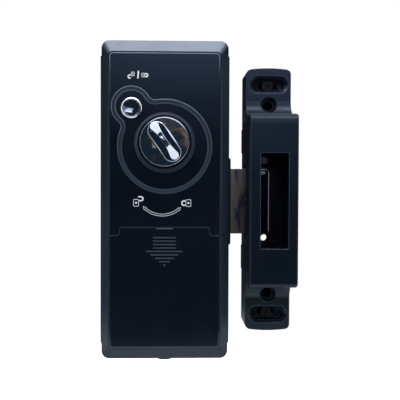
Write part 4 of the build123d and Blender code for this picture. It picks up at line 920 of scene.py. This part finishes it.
def knob_rings(knob, radius, tall):
    """The outlines (u, v) and heights of the knob's rings, from the bore's bottom to the crest's middle.

    Every ring has the same points in order: on the disc they are rays from the middle through the blade's
    foot, at a given radius; on the blade they lie between the foot's outline and the crest's, at a share
    that grows as the height does. The disc's face falls away with the square of the radius. The crest is
    level at its middle and straight towards its ends: with d the distance past the level part and w the
    length of the turn, it has fallen by tan(slope) (d + sqrt(d^2 + w^2)) / 2.
    """
    foot = stadium(knob.foot_half, knob.foot_radius, knob.foot_radius)
    crest = stadium(knob.crest_half, knob.crest_radius, knob.waist)
    ray = foot / np.linalg.norm(foot, axis=1, keepdims=True)
    rings, heights = [], []

    def ring(outline, height):
        rings.append(outline)
        heights.append(np.broadcast_to(height, len(outline)))

    def face_height(outline):
        return knob.disc - knob.crown * (outline ** 2).sum(1) / radius ** 2

    def crest_height(outline):
        past = np.abs(outline[:, 0]) - knob.level_half
        return tall - math.tan(knob.slope) * (past + np.hypot(past, knob.turn_over)) / 2

    ring(ray * knob.bore, knob.bore_depth)
    ring(ray * knob.bore, knob.bore_chamfer)
    ring(ray * (knob.bore + knob.bore_chamfer), 0.0)
    edge, foot_edge = knob.edge, knob.edge / 2
    foot_arc = arc((radius - foot_edge, foot_edge), foot_edge, -90.0, 0.0, 5)
    face_arc = arc((radius - edge, knob.disc - knob.crown - edge), edge, 0.0, 80.0, 12)
    for reach, height in (*foot_arc, *face_arc):
        ring(ray * reach, height)
    rim = ray * (radius - edge)
    for share in np.linspace(0.02, 0.95, 18):
        outline = rim + (foot - rim) * share
        ring(outline, face_height(outline))
    face = face_height(foot)
    shoulder = face + knob.shoulder
    spoke = foot * (1.0 - knob.lip / np.linalg.norm(foot, axis=1, keepdims=True))
    ring(foot, face + knob.lip / 2)
    ring(foot, shoulder - knob.lip)
    for share in (0.35, 0.7, 1.0):
        ring(foot + (spoke - foot) * share, shoulder - knob.lip * (1.0 - math.sin(share * math.pi / 2)))
    edge_height = crest_height(crest) - knob.crest_edge
    for share in np.linspace(0.04, 1.0, 22):
        ring(spoke + (crest - spoke) * share, shoulder + (edge_height - shoulder) * share)
    rounding = ((0.985, 0.14), (0.96, 0.03))
    level = ((share, 0.0) for share in (0.92, 0.8, 0.6, 0.4, 0.2, 0.07))
    for share, drop in (*rounding, *level):
        ring(crest * share, crest_height(crest * share) - drop * MM)
    return np.array(rings), np.array(heights)


def make_knob(knob):
    """The knob as one closed skin: its rings stand at origin + u along + v across + height forward."""
    low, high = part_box("turn_knob")
    tall = high.y - low.y
    flat, rise = knob_rings(knob, half_width("turn_knob"), tall)
    lean = math.pi / 2 + knob.lean
    along = np.array((math.cos(lean), 0.0, math.sin(lean)))
    across = np.array((-math.sin(lean), 0.0, math.cos(lean)))
    origin = np.array((middle("turn_knob").x, high.y, middle("turn_knob").z))
    skin = origin + flat[..., :1] * along + flat[..., 1:] * across + rise[..., None] * FORWARD
    solid = capped_solid(origin + knob.bore_depth * FORWARD, skin, origin + tall * FORWARD)
    piece("knob", solid, "turn_knob", "chrome_plate", crease=50.0)


class LOCK_OT_knob(bpy.types.Operator):
    """Turned chrome disc with its waisted blade"""
    bl_idname = "lock.knob"
    bl_label = "Knob"

    def execute(self, context):
        make_knob(context.scene.lock_knob)
        return {"FINISHED"}


# Push button


def make_bezel(button):
    """The bezel, turned about the button's axis: a sleeve with a round crest and a slope outwards."""
    centre = middle("button_bezel")
    outer = half_width("button_bezel")
    inner = outer - button.ring
    back = PANEL_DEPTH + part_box("button_bezel")[1].y
    slope, crest = math.degrees(button.slope), button.crest
    shoulder = button.ring_height - (button.ring - 2 * crest) * math.tan(button.slope) - crest
    section = np.concatenate([
        [(inner, -back), (inner + button.sleeve, -back), (inner + button.sleeve, 0.0), (outer, 0.0)],
        arc((outer - crest, shoulder), crest, 0.0, 90.0 - slope, 5),
        arc((inner + crest, button.ring_height - crest), crest, 90.0 - slope, 180.0, 9),
    ])
    bezel = loop_solid(lathe(section, 128, (centre.x, -PANEL_DEPTH, centre.z), FORWARD, (1, 0, 0)))
    piece("bezel", bezel, "button_bezel", "chrome_plate", crease=40.0)


def make_cap(button):
    """The cap, turned about the button's axis, with a dish for a face.

    The dish's depth falls from its full depth at the middle to nought at the rim with the square of the
    radius.
    """
    centre = middle("button_bezel")
    low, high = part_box("button_cap")
    origin = np.array((centre.x, high.y, centre.z))
    tall = high.y - low.y
    skirt = half_width("button_cap")
    radius = skirt - button.skirt
    share = np.linspace(1.0, 0.03, 24)[1:]
    profile = np.concatenate([
        [(skirt / 2, 0.0), (skirt, 0.0), (skirt, button.skirt), (radius, button.skirt)],
        arc((radius - button.edge, tall - button.edge), button.edge, 0.0, 90.0, 8),
        np.stack([(radius - button.edge) * share, tall - button.dish * (1.0 - share ** 2)], -1),
    ])
    rings = lathe(profile, 128, origin, FORWARD, (1, 0, 0))
    cap = capped_solid(origin, rings, origin + (tall - button.dish) * FORWARD)
    piece("button_dish", cap, "button_cap", "mirror_cap", crease=50.0)


class LOCK_OT_button(bpy.types.Operator):
    """Chrome bezel and dished button cap"""
    bl_idname = "lock.button"
    bl_label = "Push button"

    def execute(self, context):
        make_bezel(context.scene.lock_button)
        make_cap(context.scene.lock_button)
        return {"FINISHED"}


# Cells and springs


def cell_places(cells):
    """For each cell: X of its axis, and +1 where its button is up, -1 where it is down."""
    reach = half_width("battery_cells") - cells.radius
    xs = middle("battery_cells").x + np.linspace(-reach, reach, cells.count)
    return [(x, 1 if i % 2 == 0 else -1) for i, x in enumerate(xs)]


def make_cells(cells):
    """Cells turned about their axes: a crimped foot, a straight film, a rolled shoulder and the button."""
    low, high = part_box("battery_cells")
    depth = -middle("battery_cells").y
    tall = cells.body + cells.nub
    r, roll, nub, columns = cells.radius, cells.roll, cells.nub_radius, 64
    shoulder = cells.body - 0.5 * MM
    film_from, film_to = 1.1 * MM, cells.body - 1.6 * MM
    profile = np.concatenate([
        [(0.5 * r, cells.hollow), (0.62 * r, cells.hollow), (0.68 * r, 0.0), (0.9 * r, 0.0)],
        arc((r - roll, roll), roll, -90.0, 0.0, 6),
        [(r - cells.film, film_from - 0.2 * MM), (r, film_from), (r, film_to)],
        arc((r - roll, shoulder - roll), roll, 0.0, 90.0, 6),
        [(0.8 * r, shoulder), (0.78 * r, shoulder - cells.hollow), (0.5 * r, shoulder - cells.hollow),
         (nub + 0.3 * MM, cells.body - 0.1 * MM), (nub, cells.body + 0.3 * MM)],
        arc((nub - cells.nub_edge, tall - cells.nub_edge), cells.nub_edge, 0.0, 90.0, 5),
        [(0.4 * nub, tall)],
    ])
    solids, shares = [], []
    for x, up in cell_places(cells):
        foot = (x, -depth, (high.z - tall) if up > 0 else (low.z + tall))
        axis = np.array((0.0, 0.0, up))
        rings = lathe(profile, columns, foot, axis, (1, 0, 0))
        solids.append(capped_solid(foot + cells.hollow * axis, rings, foot + tall * axis))
        shares.append(np.concatenate([[0.0], np.repeat(profile[:, 1] / tall, columns), [1.0]]))
    made = piece("cells", joined(solids), "battery_cells", "cell_jacket")
    made.data.attributes.new("along", "FLOAT", "POINT").data.foreach_set("value", np.concatenate(shares))


def make_springs(cells):
    """Conical springs: radius and height go evenly from foot to tip as the angle makes its turns.

    The first and last half turns lie flat, as a ground end does.
    """
    low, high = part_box("battery_springs")
    depth = -middle("battery_springs").y
    room = (high.z - low.z) - (cells.body + cells.nub)
    steps_per_turn = 28
    share = np.linspace(0.0, 1.0, int(cells.turns * steps_per_turn))
    climb = np.clip((share * cells.turns - 0.5) / (cells.turns - 1.0), 0.0, 1.0)
    reach = cells.spring_foot + (cells.spring_tip - cells.spring_foot) * share - cells.wire
    winding = 2 * np.pi * cells.turns * share
    solids = []
    for x, up in cell_places(cells):
        foot = (low.z if up > 0 else high.z) + up * cells.wire
        rise = foot + up * climb * (room - 2 * cells.wire)
        path = np.stack([x + reach * np.cos(winding), -depth + reach * np.sin(winding), rise], -1)
        solids.append(capped_solid(path[0], tube(path, cells.wire, 10), path[-1]))
    piece("springs", joined(solids), "battery_springs", "contact_nickel")


class LOCK_OT_cells(bpy.types.Operator):
    """Cells with their films and buttons, and the wound springs that press on them"""
    bl_idname = "lock.cells"
    bl_label = "Cells and springs"

    def execute(self, context):
        make_cells(context.scene.lock_cells)
        make_springs(context.scene.lock_cells)
        return {"FINISHED"}


# Printed signs


def stroke(path, width, thickness, closed):
    """A printed line of one width along a path of (x, z) points, as a thin solid on the panel.

    The sideways direction at a point is the path's tangent turned by a quarter, with the tangent taken
    between the point before and the point after; at a corner it is lengthened so that the line keeps its
    width.
    """
    before, after = np.roll(path, 1, axis=0), np.roll(path, -1, axis=0)
    if not closed:
        before[0], after[-1] = path[0], path[-1]
    run_in, run_out = path - before, after - path
    if not closed:
        run_in[0], run_out[-1] = run_out[0], run_in[-1]
    run_in /= np.linalg.norm(run_in, axis=1, keepdims=True)
    run_out /= np.linalg.norm(run_out, axis=1, keepdims=True)
    quarter_turn = (-1.0, 1.0)
    normal_in = run_in[:, ::-1] * quarter_turn
    side = normal_in + run_out[:, ::-1] * quarter_turn
    side /= np.linalg.norm(side, axis=1, keepdims=True)
    side /= np.clip((side * normal_in).sum(1, keepdims=True), 0.5, 1.0)
    left, right = path + side * width / 2, path - side * width / 2
    section = [(left, 0.0), (left, thickness), (right, thickness), (right, 0.0)]
    rings = np.stack([np.insert(edge, 1, -PANEL_DEPTH - rise, axis=1) for edge, rise in section], axis=1)
    if closed:
        return loop_solid(rings)
    return capped_solid(rings[0].mean(0), rings, rings[-1].mean(0))


def rounded_box(centre, width, height, radius):
    """The outline of a rectangle with rounded corners, as four quarter arcs."""
    corners = [(1, 1, 0.0), (-1, 1, 90.0), (-1, -1, 180.0), (1, -1, 270.0)]
    reach = np.array((width / 2 - radius, height / 2 - radius))
    return np.concatenate([
        arc(centre + reach * (x, z), radius, start, start + 90.0, 6) for x, z, start in corners
    ])


def padlock(centre, wide, tall, bow, signs):
    """A padlock lying on its side: a thin body with a keyhole dot, and a bold bow along a path."""
    corner, dot_radius, dot_line = 0.12 * tall, 0.09 * tall, 0.12 * tall
    body = stroke(rounded_box(centre, wide, tall, corner), signs.fine_line, signs.ink, True)
    dot = stroke(arc(centre, dot_radius, 0.0, 330.0, 12), dot_line, signs.ink, True)
    return [body, dot, stroke(bow, signs.bold_line, signs.ink, False)]


def two_way_arrow(centre, radius, start, end, signs):
    """The hollow outline of an arc with a barb at either end."""
    half, barb, tip = 0.5 * signs.arrow, 0.75 * signs.arrow, 6.0

    def point(reach, degrees):
        return arc(centre, reach, degrees, degrees, 1)
    path = np.concatenate([
        arc(centre, radius + half, start + tip, end - tip, 30),
        point(radius + barb, end - tip), point(radius, end), point(radius - barb, end - tip),
        arc(centre, radius - half, end - tip, start + tip, 30),
        point(radius - barb, start + tip), point(radius, start), point(radius + barb, start + tip),
    ])
    return stroke(path, signs.thin_line, signs.ink, True)


def make_signs(signs):
    """Open and shut padlocks over the button and under the turn, with a bar and a two-way arrow."""
    small, large = signs.small, signs.large
    small_bow, shut_bow, open_bow = 0.42 * small, 0.33 * large, 0.29 * large
    left_wide, right_wide, large_wide = 0.8 * small, 0.75 * small, 0.74 * large
    bar_line = 1.2 * signs.bold_line

    def over_button(across, up):
        return np.array((middle("button_bezel").x + across * MM, signs.high + up * MM))

    def under_turn(across, up):
        return np.array((middle("turn_knob").x + across * MM, signs.low + up * MM))

    bow = arc(over_button(-1.2, -0.85), small_bow, 60.0, 310.0, 16)
    solids = padlock(over_button(0.65, 0.7), left_wide, small, bow, signs)
    bar = np.array([over_button(3.75, -2.0), over_button(4.1, 2.6)])
    solids += [stroke(bar, bar_line, signs.ink, False)]
    bow = arc(over_button(8.8, 0.0), small_bow, 150.0, -150.0, 16)
    solids += padlock(over_button(6.95, 0.05), right_wide, small, bow, signs)

    bend = arc(under_turn(-14.4, 2.5), open_bow, 90.0, -90.0, 14)
    upper, lower = under_turn(-16.2, 2.5) + (0.0, open_bow), under_turn(-15.5, 2.5) - (0.0, open_bow)
    bow = np.concatenate([[upper], bend, [lower]])
    solids += padlock(under_turn(-17.45, 0.0), large_wide, large, bow, signs)
    bow = arc(under_turn(11.9, -0.1), shut_bow, 50.0, 310.0, 20)
    solids += padlock(under_turn(14.6, -0.1), large_wide, large, bow, signs)
    arrow_centre = (middle("turn_knob").x - 1.4 * MM, signs.arrow_height)
    solids += [two_way_arrow(arrow_centre, signs.arrow_reach, -138.0, -44.5, signs)]
    piece("printed_signs", joined(solids), "front_cover", "legend_ink", crease=30.0, replaces=False)


class LOCK_OT_signs(bpy.types.Operator):
    """Signs printed on the front cover"""
    bl_idname = "lock.signs"
    bl_label = "Printed signs"

    def execute(self, context):
        make_signs(context.scene.lock_signs)
        return {"FINISHED"}


# Finishes of the CAD nodes


class LOCK_OT_finishes(bpy.types.Operator):
    """Gives every CAD node the finish that its material slot names"""
    bl_idname = "lock.finishes"
    bl_label = "Finishes"

    def execute(self, context):
        for part in frame["record"]["subparts"]:
            dress(frame["nodes"][part["node"]], part["material_slot"])
        return {"FINISHED"}


# Studio


def ray_masks(tree):
    """Masks of the rays straight from the camera, and of those that a mirror or glass sends on."""
    paths = put(tree, "ShaderNodeLightPath").outputs
    sent_on = most(paths["Is Glossy Ray"], paths["Is Transmission Ray"])
    return paths["Is Camera Ray"], sent_on


def make_world():
    """White for camera rays, even light for the lock, and a room for mirrors.

    The room is dark round the camera, with a window, and patches and a streak of light for the knob's face.
    It is white at the sides, dim beyond the door's plane, and bright high up and low down on the right.
    """
    world = bpy.data.worlds.new("studio")
    bpy.context.scene.world = world
    world.use_nodes = True
    tree = world.node_tree
    tree.nodes.clear()
    towards = put(tree, "ShaderNodeTexCoord").outputs["Generated"]
    axes = axes_of(towards)
    seen_by_knob = (-0.01, -1.0, 0.08)
    seen = {
        "X": axes["X"], "Y": axes["Y"], "Z": axes["Z"],
        "off_knob": vectors("DISTANCE", towards, seen_by_knob),
        "patches": noise(towards, 34.0, 3.0),
        "across": vectors("DOT_PRODUCT", towards, (0.84, 0.0, 0.54)),
        "along": vectors("DOT_PRODUCT", towards, (0.54, 0.0, -0.84)),
    }
    ring = {"off_knob": (0.035, 0.055, 0.085, 0.11), "patches": (0.42, 0.54)}
    window = {"Z": (0.17, 0.4, 0.42, 0.5), "X": (-0.3, -0.15, 0.35, 0.45)}
    right_patches = {**ring, "X": (-0.05, -0.02), "Z": (0.08, 0.11)}
    left_patches = {**ring, "X": (-0.03, -0.05), "Z": (0.03, 0.06)}
    streak = {"across": (-0.014, -0.010, 0.002, 0.008), "along": (-0.132, -0.118, -0.09, -0.078)}
    sides = {"Y": (-0.45, -0.35)}
    room = (0.008, 0.020, 0.034)
    for limits, colour in (
        (window, (1.85, 2.1, 2.95)),
        (right_patches, (0.24, 0.165, 0.12)),
        (left_patches, (0.016, 0.022, 0.020)),
        (streak, (0.30, 0.26, 0.20)),
        (sides, (1.0, 1.03, 1.08)),
    ):
        room = blend(within(seen, soft=True, **limits), room, colour)
    under = times(ramp(axes["Z"], 0.1, -0.3), 0.9)
    beyond = blend(under, (0.010, 0.018, 0.028), (0.030, 0.050, 0.075))
    room = blend(within(seen, soft=True, Y=(-0.1, 0.15)), room, beyond)
    sky = within(seen, soft=True, Z=(0.55, 0.7), Y=(-0.62, -0.52))
    low = within(seen, soft=True, Z=(-0.4, -0.48), X=(0.22, 0.3))
    room = blend(most(sky, low), room, (1.0, 1.1, 1.25))
    from_camera, from_mirror = ray_masks(tree)
    light = blend(from_mirror, (0.68, 0.72, 0.77), room)
    light = blend(from_camera, light, (1.0, 1.0, 1.0))
    back = put(tree, "ShaderNodeBackground", {"Color": light, "Strength": 1.0})
    put(tree, "ShaderNodeOutputWorld", {"Surface": back.outputs[0]})


def floor_finish(floor_radius):
    """Pale floor with the lock's shadow, which fades to the white background towards its rim."""
    material = bpy.data.materials.new("floor_finish")
    material.use_nodes = True
    tree = material.node_tree
    tree.nodes.clear()
    place = place_of(tree)
    axes = axes_of(place)
    from_camera, from_mirror = ray_masks(tree)
    paper = blend(noise(place, 40.0, 3.0), (0.8, 0.8, 0.8), (0.84, 0.84, 0.84))
    pale = put(tree, "ShaderNodeBsdfDiffuse", {"Color": paper})
    glow = put(tree, "ShaderNodeEmission", {"Strength": times(from_camera, 0.5)})
    lit_paper = put(tree, "ShaderNodeAddShader", {0: pale.outputs[0], 1: glow.outputs[0]})
    white = put(tree, "ShaderNodeEmission", {"Strength": from_camera})
    reach = vectors("LENGTH", vectors("MULTIPLY", place, (1.0, 1.0, 0.0)))
    fade = ramp(reach, 0.4 * floor_radius, 0.9 * floor_radius, soft=True)
    plain = put(tree, "ShaderNodeMixShader", {0: fade, 1: lit_paper.outputs[0], 2: white.outputs[0]})
    # Mirrors see the floor half bright by the lock, brightest in a strip before it and dark further out,
    # where the right stays bright for longer
    near = ramp(axes["Y"], *mm(-215, -190), 0.03, 1.3)
    on_right = ramp(axes["X"], *mm(70, 100), 0.0, 1.3)
    aside = times(ramp(axes["Y"], *mm(-290, -260)), on_right)
    dimmed = ramp(axes["Y"], *mm(-140, -100), 0.0, 0.65)
    level = maths("SUBTRACT", most(near, aside), dimmed)
    in_mirror = put(tree, "ShaderNodeEmission", {"Color": (0.72, 0.8, 0.9, 1.0), "Strength": level})
    shown = put(tree, "ShaderNodeMixShader", {0: from_mirror, 1: plain.outputs[0], 2: in_mirror.outputs[0]})
    put(tree, "ShaderNodeOutputMaterial", {"Surface": shown.outputs[0]})
    return material


def make_floor(studio):
    """A disc of floor under the lock: rings about a middle point."""
    level, columns = CAD_BOUNDS[0].z - studio.floor_drop, 64
    turn = np.linspace(0.0, 2 * np.pi, columns, endpoint=False)
    reach = studio.floor_radius * np.array([[0.3], [0.65], [1.0]])
    rings = np.stack(np.broadcast_arrays(reach * np.cos(turn), reach * np.sin(turn), level), -1)
    points = np.concatenate([rings.reshape(-1, 3), [(0.0, 0.0, level)]])
    here = np.arange(columns)
    fan = np.stack([here, (here + 1) % columns, np.full(columns, len(points) - 1)], -1)
    mesh = bpy.data.meshes.new("floor")
    mesh.from_pydata(points.tolist(), [], ring_quads(len(reach), columns)[:, ::-1].tolist() + fan.tolist())
    mesh.materials.append(floor_finish(studio.floor_radius))
    floor = bpy.data.objects.new("floor", mesh)
    bpy.context.scene.collection.objects.link(floor)


def area_lamp(name, power, colour, place, turn, extent, mirrored):
    """A soft rectangular lamp, which mirrors show or don't."""
    lamp = bpy.data.lights.new(name, "AREA")
    lamp.shape = "RECTANGLE"
    lamp.size, lamp.size_y = extent
    lamp.energy, lamp.color = power, colour
    made = bpy.data.objects.new(name, lamp)
    made.location, made.rotation_euler = place, turn
    made.visible_glossy = mirrored
    bpy.context.scene.collection.objects.link(made)


def make_camera(studio):
    """The camera at the photograph's place; the optical centre's offset in the frame becomes the shift."""
    frame_px = 400.0
    camera = bpy.data.cameras.new("camera")
    camera.sensor_fit = "HORIZONTAL"
    camera.lens = studio.focal / frame_px * camera.sensor_width
    camera.shift_x = (frame_px / 2 - studio.centre_x) / frame_px
    camera.shift_y = (studio.centre_y - frame_px / 2) / frame_px
    camera.clip_start = 10 * MM
    made = bpy.data.objects.new("camera", camera)
    made.location = studio.eye
    made.rotation_euler = (math.pi / 2 + studio.nod, studio.roll, -studio.turn)
    bpy.context.scene.collection.objects.link(made)
    bpy.context.scene.camera = made


class LOCK_OT_studio(bpy.types.Operator):
    """Camera, pale floor, background and soft lamps"""
    bl_idname = "lock.studio"
    bl_label = "Studio"

    def execute(self, context):
        studio = context.scene.lock_studio
        context.scene.view_settings.view_transform = "Standard"
        make_world()
        make_floor(studio)
        make_camera(studio)
        area_lamp("top_lamp", studio.top_lamp, (0.84, 0.86, 1.0), place=(0.0, 0.06, 0.75),
                  turn=(0.0, 0.0, 0.0), extent=(0.9, 0.5), mirrored=True)
        area_lamp("front_lamp", studio.front_lamp, (1.0, 0.98, 0.95), place=(-0.35, -0.55, 0.65),
                  turn=(math.radians(42.0), 0.0, math.radians(-32.0)), extent=(0.5, 0.35), mirrored=False)
        return {"FINISHED"}


# Add-on


STEPS = (LOCK_OT_finishes, LOCK_OT_knob, LOCK_OT_button, LOCK_OT_cells, LOCK_OT_signs, LOCK_OT_studio)


class LOCK_PT_sidebar(bpy.types.Panel):
    """Lists the steps and their settings"""
    bl_idname = "LOCK_PT_sidebar"
    bl_label = "Door lock"
    bl_space_type = "VIEW_3D"
    bl_region_type = "UI"
    bl_category = "Door lock"

    def draw(self, context):
        for step in STEPS:
            self.layout.operator(step.bl_idname)
        for name, group_class in SETTINGS.items():
            box = self.layout.box()
            for field in group_class.__annotations__:
                box.prop(getattr(context.scene, name), field)


CLASSES = (*SETTINGS.values(), *STEPS, LOCK_PT_sidebar)


def register():
    for each in CLASSES:
        bpy.utils.register_class(each)
    for name, group_class in SETTINGS.items():
        setattr(bpy.types.Scene, name, PointerProperty(type=group_class))


def unregister():
    for name in SETTINGS:
        delattr(bpy.types.Scene, name)
    for each in reversed(CLASSES):
        bpy.utils.unregister_class(each)


def main():
    """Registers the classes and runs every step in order."""
    register()
    bpy.ops.lock.finishes()
    bpy.ops.lock.knob()
    bpy.ops.lock.button()
    bpy.ops.lock.cells()
    bpy.ops.lock.signs()
    bpy.ops.lock.studio()


if __name__ == "__main__":
    main()
